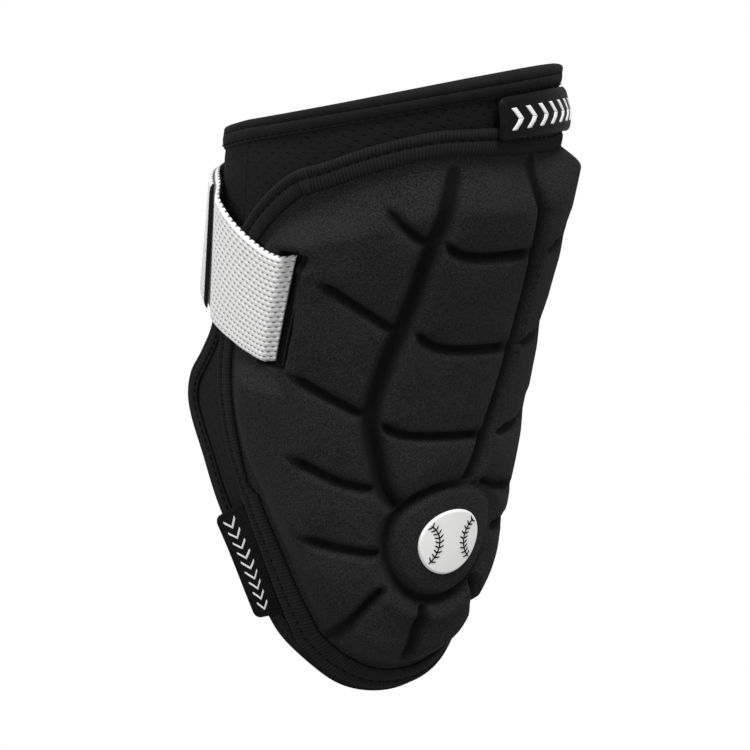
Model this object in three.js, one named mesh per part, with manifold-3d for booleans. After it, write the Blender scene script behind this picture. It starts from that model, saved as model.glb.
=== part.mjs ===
// Elbow guard for a baseball batter: a sleeve of perforated mesh cloth, a moulded shell of
// fabric-covered foam pods on its front, tape round the shell's edge, and an elastic strap
// that leaves the shell through a slot on each side and runs round the back of the arm.
// Millimetres. +Z runs up the arm, the shell faces -Y, and X = 0 is the middle of the front.
// The origin is the middle of the arm's hollow at the level of the strap.
// A place on the guard is an angle round the arm, in degrees from the front and negative on
// the -X side, a height above the lowest point, and an offset out from the arm.
import Module from "manifold-3d";
import * as THREE from "three";
import { mergeVertices } from "three/addons/utils/BufferGeometryUtils.js";

// The arm's hollow, which every layer follows
const GUARD_HEIGHT = 222; // lowest point of the front to the top of the rim in front
const ARM_WIDTH = 114; // inside the rim, side to side
const ARM_FRONT = 59; // inside the rim, middle of the arm to the front
const ARM_BACK = 42; // inside the rim, middle of the arm to the back
const TIP_SET_BACK = 22; // how far the middle of the lowest section lies behind the rim's
const RIM_DROP = 24; // how much lower the rim is at the back than in front
const SIDE_RISE = 5.4; // how much higher the rim is on the +X side than in the middle

// Cloth, foam and tape
const GAP = 0.3; // between neighbouring layers
const FOLD_GAP = 0.6; // between the sleeve and the cloth folded over its edge
const SHELL_GAP = 1.1; // between the sleeve and the shell's coarser inner face
const SLEEVE_WALL = 1.6;
const HEM_HEIGHT = 8;
const HEM_WALL = 0.8;
const FLANGE_WALL = 1.4; // pressed edge of the shell, under its tape
const FLANGE_SHOW = 3.5; // bare flange between the tape and the pods along the top
const POD_RISE = 9.4; // pods above the flange over the forearm
const LOW_POD_RISE = 6.6; // pods above the flange round the tip
const SHOULDER_RUN = 11; // width of the pods' rounded outer shoulder
const SIDE_THINNING = 0.3; // share of a pod's rise lost at the sides of the arm
const SEAT_WALL = 4; // shell under the strap, beside the slot
const TAPE_WIDTH = 8.4;
const TAPE_WALL = 1.0;
const TAPE_OVERHANG = 1.5; // tape beyond the shell's edge

// Grooves between the pods
const GROOVE_DEPTH = 4.6;
const GROOVE_WIDTH = 7;
const CROSS_SHARE = 0.85; // a cross groove's size, as a share of a long one's
const GROOVE_FLOOR = 1; // least foam left above the flange under a groove

// The round pod over the point of the elbow, and the ball badge on it
const DISC_RADIUS = 20.5;
const DISC_DROP = 1.4; // how far it lies below the pods round it
const DISC_ANGLE = 5;
const BADGE_RADIUS = 11;
const BADGE_WALL = 0.6;

// The strap and its pull tab
const STRAP_WIDTH = 38; // at the slots, where it is gathered
const STRAP_BACK_WIDTH = 50; // behind the arm
const STRAP_WALL = 1.6;
const STRAP_LEVEL = 143; // middle of the strap at the slots
const STRAP_BACK_RISE = 20; // how much higher it runs behind the arm
const SLOT_ANGLE = 65; // at the strap's lower edge
const SLOT_LEAN = 6; // degrees nearer the front at the strap's upper edge
const SLOT_MARGIN = 1.2; // slot beyond each edge and the end of the strap
const TAB_WIDTH = 46;
const TAB_WALL = 1.4;
const TAB_ANGLE = 111; // where the tab's end lies, on the -X side
const TAB_SPAN = 52; // degrees that the tab covers
const TAB_TAPE_WIDTH = 1.5;

// Labels
const PATCH_HEIGHT = 13.6;
const PATCH_WALL = 1.0;
const PATCH_ANGLE = -1; // where its near end lies
const PATCH_SPAN = 50; // degrees
const PATCH_DROP = 7.4; // top of the patch below the rim
const PATCH_STAND = 0.4; // share of its height that lies over the tape
const TAG_LENGTH = 40;
const TAG_WIDTH = 13.5;
const TAG_SLANT = 6; // how much shorter its free edge is, at the top
const TAG_WALL = 0.8;
const TAG_LEVEL = 52.5; // its middle, on the -X side

const table = (columns, rows) =>
  rows.map((row) => Object.fromEntries(columns.map((name, i) => [name, row[i]])));

// Sections of the arm's hollow from the tip to the rim. Height is a share of GUARD_HEIGHT,
// width of half ARM_WIDTH, front of ARM_FRONT, back of ARM_BACK, setBack of TIP_SET_BACK.
const SECTIONS = table(["height", "width", "front", "back", "setBack"], [
  [0.0, 0.47, 0.36, 0.71, 0.95],
  [0.054, 0.545, 0.46, 0.95, 0.86],
  [0.135, 0.63, 0.56, 1.31, 0.77],
  [0.225, 0.7, 0.635, 1.67, 0.7],
  [0.36, 0.78, 0.67, 2.02, 0.68],
  [0.495, 0.85, 0.71, 2.02, 0.57],
  [0.63, 0.886, 0.797, 1.31, 0.39],
  [0.765, 0.94, 0.907, 1.13, 0.16],
  [0.878, 0.98, 0.975, 1.02, 0.0],
  [1.0, 0.955, 1.0, 1.0, -0.2],
]);

// SHELL_TOP runs from the -X side to the +X side. The other outlines are half outlines, mirrored
// about the front. Heights are shares of GUARD_HEIGHT.
const SHELL_TOP = table(["angle", "height"], [
  [-85, 0.765],
  [-78, 0.805],
  [-66, 0.858],
  [-56, 0.876],
  [-44, 0.898],
  [-33, 0.912],
  [-21, 0.92],
  [-10, 0.918],
  [0, 0.914],
  [10, 0.908],
  [20, 0.903],
  [33, 0.897],
  [45, 0.894],
  [56, 0.889],
  [66, 0.87],
  [78, 0.82],
  [85, 0.765],
]);
const SHELL_SIDE = table(["height", "angle"], [
  [0.108, 63],
  [0.18, 73],
  [0.247, 80.5],
  [0.325, 89],
  [0.4, 94],
  [0.49, 96.6],
  [0.57, 97.6],
  [0.65, 96.5],
  [0.715, 91],
  [0.765, 85],
]);
const SHELL_BOTTOM = table(["angle", "height"], [
  [0, 0.027],
  [17, 0.031],
  [34, 0.045],
  [50, 0.072],
  [63, 0.108],
]);
const SLEEVE_BOTTOM = table(["angle", "height"], [
  [180, 0.7],
  [145, 0.695],
  [122, 0.67],
  [111, 0.6],
  [113, 0.545],
  [118, 0.5],
  [119, 0.45],
  [112, 0.37],
  [107, 0.29],
  [98, 0.2],
  [84, 0.118],
  [64, 0.07],
  [36, 0.024],
  [0, 0.008],
]);

// The two grooves that run down the front, either side of the middle column of pods
const LONG_GROOVES = table(["height", "left", "right"], [
  [0.356, -23, 12],
  [0.414, -27, 16],
  [0.477, -30, 20],
  [0.55, -28, 23],
  [0.653, -23, 24],
  [0.766, -19, 21.5],
  [0.87, -13, 18],
]);

// Grooves across, each through three places. Angles in degrees, heights as above, and
// fade says at which ends the groove dies out.
const CROSS_GROOVES = table(
  ["angle1", "height1", "angle2", "height2", "angle3", "height3", "fade"],
  [
    [-20, 0.766, -28, 0.79, -36, 0.825, "end"],
    [-26, 0.63, -39, 0.668, -53, 0.708, "end"],
    [-32, 0.49, -44, 0.518, -60, 0.556, "end"],
    [-29, 0.368, -41, 0.383, -60, 0.424, "end"],
    [-26, 0.26, -42, 0.272, -58, 0.29, "end"],
    [-23, 0.203, -37, 0.144, -49, 0.11, "end"],
    [-14, 0.76, -5, 0.743, 16, 0.739, "start"],
    [-17, 0.618, -6, 0.596, 17, 0.586, "start"],
    [-25, 0.47, -14, 0.452, 12, 0.441, "start"],
    [28, 0.737, 42, 0.739, 56, 0.77, "both"],
    [27, 0.586, 44, 0.586, 60, 0.63, "both"],
    [22, 0.437, 40, 0.441, 60, 0.48, "both"],
    [22, 0.356, 36, 0.338, 56, 0.325, "end"],
    [37, 0.27, 47, 0.268, 58, 0.28, "end"],
    [26, 0.2, 38, 0.145, 50, 0.11, "end"],
    [-3, 0.167, -3, 0.13, -4, 0.085, "end"],
  ],
);
const DISC_LEVEL = 0.27; // share of GUARD_HEIGHT

// Mesh fineness
const SHELL_COLUMNS = 24;
const SHELL_ROWS = 32;
const SLEEVE_STATIONS = 56;
const SLEEVE_ROWS = 11;
const STRAP_STATIONS = 48;

const radians = THREE.MathUtils.degToRad;
const lerp = THREE.MathUtils.lerp;
const clamp = THREE.MathUtils.clamp;
const ease = (share) => THREE.MathUtils.smoothstep(share, 0, 1);

// A smooth function through a table's rows, from one column to another, level past its ends
function curveThrough(rows, from, to) {
  const slopeAt = (i) => {
    const before = rows[Math.max(i - 1, 0)];
    const after = rows[Math.min(i + 1, rows.length - 1)];
    return (after[to] - before[to]) / (after[from] - before[from]);
  };
  return (value) => {
    const x = clamp(value, rows[0][from], rows[rows.length - 1][from]);
    const i = clamp(rows.findIndex((row) => row[from] > x) - 1, 0, rows.length - 2);
    const last = x >= rows[rows.length - 1][from];
    const k = last ? rows.length - 2 : i;
    const run = rows[k + 1][from] - rows[k][from];
    const t = (x - rows[k][from]) / run;
    const startShare = (1 + 2 * t) * (1 - t) ** 2;
    const endShare = t * t * (3 - 2 * t);
    const startLean = t * (1 - t) ** 2 * run * slopeAt(k);
    const endLean = t * t * (t - 1) * run * slopeAt(k + 1);
    return startShare * rows[k][to] + endShare * rows[k + 1][to] + startLean + endLean;
  };
}

const widthShare = curveThrough(SECTIONS, "height", "width");
const frontShare = curveThrough(SECTIONS, "height", "front");
const backShare = curveThrough(SECTIONS, "height", "back");
const setBackShare = curveThrough(SECTIONS, "height", "setBack");

function section(height) {
  const share = height / GUARD_HEIGHT;
  return {
    side: (widthShare(share) * ARM_WIDTH) / 2,
    front: frontShare(share) * ARM_FRONT,
    back: backShare(share) * ARM_BACK,
    centre: setBackShare(share) * TIP_SET_BACK,
  };
}

// The rim leans, so heights near it rise on the +X side
function leaned(angle, height) {
  return height + SIDE_RISE * Math.sin(radians(angle)) * ease((height / GUARD_HEIGHT - 0.72) / 0.28);
}

function armPoint(angle, height) {
  const { side, front, back, centre } = section(height);
  const turn = radians(angle);
  const depth = Math.cos(turn) > 0 ? front : back;
  return new THREE.Vector3(
    side * Math.sin(turn),
    centre - depth * Math.cos(turn),
    leaned(angle, height),
  );
}

// Directions along the surface, in mm for each degree and for each mm of height
function armSlopes(angle, height) {
  const step = 0.5;
  const across = armPoint(angle + step, height).sub(armPoint(angle - step, height));
  const up = armPoint(angle, height + step).sub(armPoint(angle, height - step));
  return { across: across.divideScalar(2 * step), up: up.divideScalar(2 * step) };
}

function place(angle, height, offset) {
  const { across, up } = armSlopes(angle, height);
  const outward = across.cross(up).normalize();
  return armPoint(angle, height).addScaledVector(outward, offset);
}

// The guard rolled out flat, for distances along its surface
function flat(angle, height) {
  const { side, front, back } = section(height);
  const near = Math.min(Math.abs(angle), 90);
  const past = Math.abs(angle) - near;
  const girth = ((side + front) / 2) * radians(near) + back * Math.sin(radians(past));
  return new THREE.Vector2(Math.sign(angle) * girth, height);
}

// Moves a place on the surface sideways from a line through it, to its left in mm
function beside(line, i, distance, closed = true) {
  const at = line[i];
  const before = closed ? line[(i + line.length - 1) % line.length] : line[Math.max(i - 1, 0)];
  const after = closed ? line[(i + 1) % line.length] : line[Math.min(i + 1, line.length - 1)];
  const { across, up } = armSlopes(at.angle, at.height);
  const perDegree = across.length();
  const perHeight = up.length();
  const along = new THREE.Vector2(
    turnBetween(before.angle, after.angle) * perDegree,
    (after.height - before.height) * perHeight,
  ).normalize();
  return {
    angle: at.angle + (distance * -along.y) / perDegree,
    height: at.height + (distance * along.x) / perHeight,
  };
}

const turnBetween = (from, to) => THREE.MathUtils.euclideanModulo(to - from + 180, 360) - 180;

// Outlines

const topEdge = curveThrough(SHELL_TOP, "angle", "height");
const sideEdge = curveThrough(SHELL_SIDE, "height", "angle");
const bottomEdge = curveThrough(SHELL_BOTTOM, "angle", "height");
const shellTop = (angle) => topEdge(angle) * GUARD_HEIGHT;
const shellSide = (height) => sideEdge(height / GUARD_HEIGHT);
const shellBottom = (angle) => bottomEdge(Math.abs(angle)) * GUARD_HEIGHT;
const rimHeight = (angle) => GUARD_HEIGHT - (RIM_DROP * (1 - Math.cos(radians(angle)))) / 2;

// The shell's edge as a closed line, with the shell on its left: the bottom towards +X, the
// +X side upwards, the top and the -X side. Places crowd towards the four ends.
function shellEdge(columns, rows) {
  const crowded = (share) => lerp(share, (1 - Math.cos(Math.PI * share)) / 2, 0.5);
  const bottomAngle = SHELL_BOTTOM.at(-1).angle;
  const topAngle = SHELL_TOP.at(-1).angle;
  const lowSide = SHELL_SIDE[0].height * GUARD_HEIGHT;
  const highSide = SHELL_SIDE.at(-1).height * GUARD_HEIGHT;
  const line = [];
  for (let i = 0; i < columns; i += 1) {
    const angle = bottomAngle * (2 * crowded(i / columns) - 1);
    line.push({ angle, height: shellBottom(angle) });
  }
  for (let j = 0; j < rows; j += 1) {
    const height = lerp(lowSide, highSide, crowded(j / rows));
    line.push({ angle: shellSide(height), height });
  }
  for (let i = 0; i < columns; i += 1) {
    const angle = topAngle * (1 - 2 * crowded(i / columns));
    line.push({ angle, height: shellTop(angle) });
  }
  for (let j = 0; j < rows; j += 1) {
    const height = lerp(highSide, lowSide, crowded(j / rows));
    line.push({ angle: -shellSide(height), height });
  }
  return line;
}

// Places inside a closed line as a grid, blended from the line's four sides
function gridInside(line, columns, rows) {
  const side = {
    bottom: (i) => line[i],
    right: (j) => line[columns + j],
    top: (i) => line[2 * columns + rows - i],
    left: (j) => line[(2 * columns + 2 * rows - j) % line.length],
  };
  const blend = (i, j, key) => {
    const u = i / columns;
    const v = j / rows;
    const upward = lerp(side.bottom(i)[key], side.top(i)[key], v);
    const across = lerp(side.left(j)[key], side.right(j)[key], u);
    const lowCorners = lerp(side.bottom(0)[key], side.bottom(columns)[key], u);
    const highCorners = lerp(side.top(0)[key], side.top(columns)[key], u);
    return upward + across - lerp(lowCorners, highCorners, v);
  };
  return (i, j) => ({ angle: blend(i, j, "angle"), height: blend(i, j, "height") });
}

// The sleeve's lower edge, from the back over the -X side and the front to the back again,
// with the sleeve on its left
function sleeveEdge(stations) {
  const near = SLEEVE_BOTTOM.map(({ angle, height }) => [-angle, height * GUARD_HEIGHT]);
  const far = near.slice(0, -1).reverse().map(([angle, height]) => [-angle, height]);
  const points = [...near, ...far].map(
    ([angle, height]) => new THREE.Vector3(flat(angle, height).x, height, angle),
  );
  const curve = new THREE.CatmullRomCurve3(points, false, "centripetal");
  const spots = curve.getSpacedPoints(stations).slice(0, stations);
  return spots.map((spot) => ({ angle: spot.z, height: spot.y }));
}

function evenly(line, count) {
  const spots = line.map(({ angle, height }) => place(angle, height, 0));
  const reach = [0];
  for (let i = 1; i <= line.length; i += 1) {
    reach.push(reach[i - 1] + spots[i - 1].distanceTo(spots[i % line.length]));
  }
  const whole = reach[line.length];
  return Array.from({ length: count }, (_, n) => {
    const target = (whole * n) / count;
    const i = Math.max(reach.findIndex((r) => r > target) - 1, 0);
    const share = (target - reach[i]) / (reach[i + 1] - reach[i]);
    const a = line[i];
    const b = line[(i + 1) % line.length];
    return {
      angle: a.angle + turnBetween(a.angle, b.angle) * share,
      height: lerp(a.height, b.height, share),
    };
  });
}

// Offsets of the layers, from the arm outwards

const SHELL_OFFSET = SLEEVE_WALL + SHELL_GAP;
const HEM_OFFSET = SLEEVE_WALL + FOLD_GAP;
const TAPE_OFFSET = SHELL_OFFSET + FLANGE_WALL + GAP;
const OVER_HEM = HEM_OFFSET + HEM_WALL + GAP;
const OVER_TAPE = TAPE_OFFSET + TAPE_WALL + GAP;

// The strap: its middle, half width and inner offset at an angle round the arm

const backOf = (angle) => ease((Math.abs(angle) - SLOT_ANGLE) / 60);
const strapMiddle = (angle) => STRAP_LEVEL + STRAP_BACK_RISE * backOf(angle);
const strapHalf = (angle) => lerp(STRAP_WIDTH, STRAP_BACK_WIDTH, backOf(angle)) / 2;

function seatWall(angle) {
  return lerp(SEAT_WALL, FLANGE_WALL + TAPE_WALL, ease((Math.abs(angle) - SLOT_ANGLE) / 20));
}

function strapOffset(angle) {
  const overSeat = SHELL_OFFSET + seatWall(angle) + GAP;
  const pastTape = ease((Math.abs(angle) - shellSide(STRAP_LEVEL) - 4) / 10);
  return lerp(Math.max(overSeat, OVER_TAPE), OVER_HEM, pastTape);
}

// The shell's pods

const edgeLine = shellEdge(40, 40).map(({ angle, height }) => flat(angle, height));
edgeLine.push(edgeLine[0]);

function distanceTo(line, spot) {
  let best = Infinity;
  for (let i = 1; i < line.length; i += 1) {
    const run = line[i].clone().sub(line[i - 1]);
    const lead = spot.clone().sub(line[i - 1]);
    const share = clamp(lead.dot(run) / run.lengthSq(), 0, 1);
    best = Math.min(best, lead.addScaledVector(run, -share).length());
  }
  return best;
}

const discMiddle = flat(DISC_ANGLE, DISC_LEVEL * GUARD_HEIGHT);

const shoulder = (share) => 1 - (1 - clamp(share, 0, 1)) ** 2.2;

function shellThickness(angle, height) {
  const spot = flat(angle, height);
  const share = height / GUARD_HEIGHT;
  const alongTop = ease((share - 0.7) / 0.12);
  const reach = TAPE_WIDTH - TAPE_OVERHANG + FLANGE_SHOW * alongTop;
  const rounding = shoulder((distanceTo(edgeLine, spot) - reach) / SHOULDER_RUN);
  const rise = lerp(LOW_POD_RISE, POD_RISE, ease((share - 0.12) / 0.3));
  const thinning = SIDE_THINNING * ease((Math.abs(angle) - 50) / 40);
  const drop = DISC_DROP * (1 - ease((spot.distanceTo(discMiddle) / DISC_RADIUS - 0.8) / 0.4));
  return FLANGE_WALL + rounding * (rise * (1 - thinning) - drop);
}

// Bodies

function bodyFrom(points, triangles) {
  const geometry = new THREE.BufferGeometry();
  const flatPoints = points.flatMap((p) => [p.x, p.y, p.z]);
  geometry.setAttribute("position", new THREE.Float32BufferAttribute(flatPoints, 3));
  geometry.setIndex(triangles);
  geometry.computeVertexNormals();
  return geometry;
}

// A sheet over a grid of shares, across to +X and up, whose point comes from pointAt with
// the shares and the face, 1 for the outer one and 0 for the inner
function sheet(columns, rows, pointAt) {
  const points = [];
  const at = (face, i, j) => ((1 - face) * (rows + 1) + j) * (columns + 1) + i;
  for (const face of [1, 0]) {
    for (let j = 0; j <= rows; j += 1) {
      for (let i = 0; i <= columns; i += 1) points.push(pointAt(i / columns, j / rows, face));
    }
  }
  const triangles = [];
  const quad = (a, b, c, d) => triangles.push(a, b, c, a, c, d);
  for (let j = 0; j < rows; j += 1) {
    for (let i = 0; i < columns; i += 1) {
      quad(at(1, i, j), at(1, i + 1, j), at(1, i + 1, j + 1), at(1, i, j + 1));
      quad(at(0, i, j), at(0, i, j + 1), at(0, i + 1, j + 1), at(0, i + 1, j));
    }
    quad(at(1, 0, j), at(1, 0, j + 1), at(0, 0, j + 1), at(0, 0, j));
    quad(at(0, columns, j), at(0, columns, j + 1), at(1, columns, j + 1), at(1, columns, j));
  }
  for (let i = 0; i < columns; i += 1) {
    quad(at(0, i, 0), at(0, i + 1, 0), at(1, i + 1, 0), at(1, i, 0));
    quad(at(1, i, rows), at(1, i + 1, rows), at(0, i + 1, rows), at(0, i, rows));
  }
  return bodyFrom(points, triangles);
}

// A sheet laid over the arm, with an inner offset that may change from place to place
function laidSheet(columns, rows, placeAt, offsetAt, wall) {
  return sheet(columns, rows, (across, up, face) => {
    const { angle, height } = placeAt(across, up);
    return place(angle, height, offsetAt(angle, height, up) + face * wall);
  });
}

// Sections along a line. A section's first coordinate is to the line's left on the surface
// and its second outwards, and its outer side runs from left to right.
function sweep(stations, sectionAt, closed = true) {
  const count = sectionAt(0).length;
  const points = stations.flatMap((_, n) =>
    sectionAt(n).map(([left, offset]) => {
      const { angle, height } = beside(stations, n, left, closed);
      return place(angle, height, offset);
    }),
  );
  const triangles = [];
  const spans = closed ? stations.length : stations.length - 1;
  for (let n = 0; n < spans; n += 1) {
    const next = (n + 1) % stations.length;
    for (let i = 0; i < count; i += 1) {
      const a = n * count + i;
      const b = n * count + ((i + 1) % count);
      const c = next * count + ((i + 1) % count);
      const d = next * count + i;
      triangles.push(a, b, c, a, c, d);
    }
  }
  const last = (stations.length - 1) * count;
  for (let i = 1; !closed && i < count - 1; i += 1) {
    triangles.push(0, i + 1, i, last, last + i, last + i + 1);
  }
  return bodyFrom(points, triangles);
}

// Joins and cuts

const wasm = await Module();
wasm.setup();

function solidFrom(geometry) {
  const bare = geometry.clone();
  bare.deleteAttribute("normal");
  const merged = mergeVertices(bare);
  return new wasm.Manifold(
    new wasm.Mesh({
      numProp: 3,
      vertProperties: merged.attributes.position.array,
      triVerts: new Uint32Array(merged.index.array),
    }),
  );
}

function geometryFrom(solid) {
  const { vertProperties, triVerts } = solid.getMesh();
  const geometry = new THREE.BufferGeometry();
  geometry.setAttribute("position", new THREE.BufferAttribute(vertProperties, 3));
  geometry.setIndex(new THREE.BufferAttribute(triVerts, 1));
  geometry.computeVertexNormals();
  return geometry;
}

// The shell: pods with grooves cut between them, cut back where the strap lies
function shellBody() {
  const cuts = [seatOfStrap(-1), seatOfStrap(1), discGroove()];
  for (const side of ["left", "right"]) {
    const places = LONG_GROOVES.map((row) => [row[side], row.height]);
    cuts.push(groove(places, 11, 1, "none"));
  }
  for (const row of CROSS_GROOVES) {
    const places = [1, 2, 3].map((n) => [row[`angle${n}`], row[`height${n}`]]);
    cuts.push(groove(places, 5, CROSS_SHARE, row.fade));
  }
  return geometryFrom(cuts.reduce((solid, cut) => solid.subtract(cut), solidFrom(paddedShell())));
}

// A wedge that cuts a groove through places given as angle and share of the height. It
// fades out at its start, its end or both.
function groove(places, steps, size, fade) {
  const curve = new THREE.SplineCurve(
    places.map(([angle, height]) => new THREE.Vector2(angle, height * GUARD_HEIGHT)),
  );
  const line = curve.getSpacedPoints(steps).map((spot) => ({ angle: spot.x, height: spot.y }));
  const sizeAt = (n) => {
    const start = fade === "end" || fade === "none" ? 1 : ease((n / steps) * 2.5);
    const end = fade === "start" || fade === "none" ? 1 : ease((1 - n / steps) * 2.5);
    return size * start * end;
  };
  return solidFrom(sweep(line, (n) => wedge(line[n], sizeAt(n)), false));
}

function wedge({ angle, height }, size) {
  const thickness = shellThickness(angle, height);
  const top = thickness + GROOVE_DEPTH / 2;
  const floor = Math.max(thickness - GROOVE_DEPTH * size, FLANGE_WALL + GROOVE_FLOOR);
  const slope = (GROOVE_WIDTH * size) / 2 / Math.max(GROOVE_DEPTH * size, GAP);
  const half = slope * (top - floor);
  return [
    [half, SHELL_OFFSET + top],
    [-half, SHELL_OFFSET + top],
    [0, SHELL_OFFSET + floor],
  ];
}

function discGroove() {
  const steps = 22;
  const line = Array.from({ length: steps }, (_, n) => discPlace(1, (2 * Math.PI * n) / steps));
  return solidFrom(sweep(line, (n) => wedge(line[n], CROSS_SHARE)));
}

// A place on the round pod: share of its radius, and turn in radians from +X towards +Z
function discPlace(share, turn) {
  const { across, up } = armSlopes(DISC_ANGLE, DISC_LEVEL * GUARD_HEIGHT);
  return {
    angle: DISC_ANGLE + (DISC_RADIUS * share * Math.cos(turn)) / across.length(),
    height: DISC_LEVEL * GUARD_HEIGHT + (DISC_RADIUS * share * Math.sin(turn)) / up.length(),
  };
}

// The slot's wall leans from SLOT_ANGLE towards the front, and the seat runs from it out past
// the shell's edge
function seatOfStrap(side) {
  const outEnd = shellSide(STRAP_LEVEL) + 8;
  const placeAt = (across, up) => {
    const wall = SLOT_ANGLE - SLOT_LEAN * up;
    const out = lerp(wall, outEnd, side > 0 ? across : 1 - across);
    const half = strapHalf(out) + SLOT_MARGIN;
    return { angle: side * out, height: strapMiddle(out) + half * (2 * up - 1) };
  };
  const floor = (angle) => SHELL_OFFSET + seatWall(angle);
  return solidFrom(laidSheet(8, 4, placeAt, floor, 2 * POD_RISE));
}

// The shell before it is cut: a flange as wide as the tape round a fine grid of pods, over a
// coarser inner face
function paddedShell() {
  const columns = SHELL_COLUMNS;
  const rows = SHELL_ROWS;
  const edge = shellEdge(columns, rows);
  const innerEdge = edge.map((_, n) => beside(edge, n, TAPE_WIDTH - TAPE_OVERHANG + GAP));
  const placeAt = gridInside(innerEdge, columns, rows);
  const points = [];
  const put = ({ angle, height }, offset) => points.push(place(angle, height, offset)) - 1;
  const rim = edge.map((spot) => put(spot, SHELL_OFFSET + FLANGE_WALL));
  const under = edge.map((spot) => put(spot, SHELL_OFFSET));
  const pod = [];
  const inner = [];
  for (let j = 0; j <= rows; j += 1) {
    for (let i = 0; i <= columns; i += 1) {
      const spot = placeAt(i, j);
      const onBorder = i === 0 || i === columns || j === 0 || j === rows;
      const thickness = onBorder ? FLANGE_WALL : shellThickness(spot.angle, spot.height);
      pod.push(put(spot, SHELL_OFFSET + thickness));
      inner.push(put(spot, SHELL_OFFSET));
    }
  }
  const at = (i, j) => j * (columns + 1) + i;
  const triangles = [];
  const quad = (a, b, c, d) => triangles.push(a, b, c, a, c, d);
  for (let j = 0; j < rows; j += 1) {
    for (let i = 0; i < columns; i += 1) {
      quad(pod[at(i, j)], pod[at(i + 1, j)], pod[at(i + 1, j + 1)], pod[at(i, j + 1)]);
    }
  }
  for (let j = 0; j < rows; j += 2) {
    for (let i = 0; i < columns; i += 2) {
      quad(inner[at(i, j)], inner[at(i, j + 2)], inner[at(i + 2, j + 2)], inner[at(i + 2, j)]);
    }
  }
  const border = [];
  for (let i = 0; i < columns; i += 1) border.push([i, 0]);
  for (let j = 0; j < rows; j += 1) border.push([columns, j]);
  for (let i = columns; i > 0; i -= 1) border.push([i, rows]);
  for (let j = rows; j > 0; j -= 1) border.push([0, j]);
  const coarse = ([i, j]) => inner[at(2 * Math.floor(i / 2), 2 * Math.floor(j / 2))];
  border.forEach((from, n) => {
    const m = (n + 1) % border.length;
    const to = border[m];
    quad(rim[n], rim[m], pod[at(...to)], pod[at(...from)]);
    quad(under[n], under[m], rim[m], rim[n]);
    triangles.push(under[m], under[n], coarse(from));
    if (coarse(to) !== coarse(from)) triangles.push(under[m], coarse(from), coarse(to));
  });
  return withoutLoosePoints(points, triangles);
}

function withoutLoosePoints(points, triangles) {
  const renumbered = new Map();
  const kept = [];
  const indices = triangles.map((index) => {
    if (!renumbered.has(index)) {
      renumbered.set(index, kept.length);
      kept.push(points[index]);
    }
    return renumbered.get(index);
  });
  return bodyFrom(kept, indices);
}

// The sleeve: closed round the upper arm, open at the back below the strap. Its first and
// last rows run along the hems' two edges, so that it lies between their legs.
function sleeveBody() {
  const inset = HEM_WALL + FOLD_GAP;
  const line = sleeveEdge(SLEEVE_STATIONS);
  const rim = rimLine();
  const low = line.map((_, n) => beside(line, n, HEM_HEIGHT));
  const top = rim.map((_, n) => beside(rim, n, -HEM_HEIGHT));
  const placeAt = (n, j) => {
    if (j === 0) return beside(line, n, inset);
    if (j === SLEEVE_ROWS) return beside(rim, n, -inset);
    const share = (j - 1) / (SLEEVE_ROWS - 2);
    const lean = turnBetween(low[n].angle, top[n].angle) * (1 - (1 - share) ** 2);
    return { angle: low[n].angle + lean, height: lerp(low[n].height, top[n].height, share) };
  };
  const points = [];
  for (const offset of [SLEEVE_WALL, 0]) {
    for (let j = 0; j <= SLEEVE_ROWS; j += 1) {
      for (let n = 0; n < SLEEVE_STATIONS; n += 1) {
        const { angle, height } = placeAt(n, j);
        points.push(place(angle, height, offset));
      }
    }
  }
  const at = (side, n, j) =>
    (side * (SLEEVE_ROWS + 1) + j) * SLEEVE_STATIONS + (n % SLEEVE_STATIONS);
  const triangles = [];
  const quad = (a, b, c, d) => triangles.push(a, b, c, a, c, d);
  const last = SLEEVE_ROWS;
  for (let n = 0; n < SLEEVE_STATIONS; n += 1) {
    for (let j = 0; j < last; j += 1) {
      quad(at(0, n, j), at(0, n + 1, j), at(0, n + 1, j + 1), at(0, n, j + 1));
      quad(at(1, n, j), at(1, n, j + 1), at(1, n + 1, j + 1), at(1, n + 1, j));
    }
    quad(at(1, n, 0), at(1, n + 1, 0), at(0, n + 1, 0), at(0, n, 0));
    quad(at(0, n, last), at(0, n + 1, last), at(1, n + 1, last), at(1, n, last));
  }
  return bodyFrom(points, triangles);
}

// The rim, with a station above each one of the lower edge. The stations behind the notch
// at the top of each wing share out the back of the rim, and those below it the front.
function rimLine() {
  const low = sleeveEdge(SLEEVE_STATIONS);
  const middle = SLEEVE_STATIONS / 2;
  const notch = low.findIndex((at, n) => Math.abs(low[n + 1].angle) > Math.abs(at.angle));
  const notchAngle = Math.abs(low[notch].angle);
  return low.map((_, n) => {
    const fromFront = Math.abs(n - middle);
    const past = Math.max(0, fromFront - (middle - notch)) / notch;
    const before = Math.min(1, fromFront / (middle - notch));
    const angle = Math.sign(n - middle) * (notchAngle * before + (180 - notchAngle) * past);
    return { angle, height: rimHeight(angle) };
  });
}

// Cloth folded over an edge that has the sleeve on its left
function foldSection(leg) {
  const outer = HEM_OFFSET + HEM_WALL;
  const inner = -FOLD_GAP - HEM_WALL;
  return [
    [leg, outer],
    [0, outer],
    [0, inner],
    [leg, inner],
    [leg, -FOLD_GAP],
    [HEM_WALL, -FOLD_GAP],
    [HEM_WALL, HEM_OFFSET],
    [leg, HEM_OFFSET],
  ];
}

function rimHemBody() {
  const section = foldSection(HEM_HEIGHT).reverse().map(([left, offset]) => [-left, offset]);
  return sweep(rimLine(), () => section);
}

// Round the tip the hem narrows where the tape lies close to the sleeve's edge
function lowerHemBody() {
  const line = sleeveEdge(SLEEVE_STATIONS);
  return sweep(line, (n) => {
    const room = distanceTo(edgeLine, flat(line[n].angle, line[n].height));
    return foldSection(Math.min(HEM_HEIGHT, room - TAPE_OVERHANG - GAP));
  });
}

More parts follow.
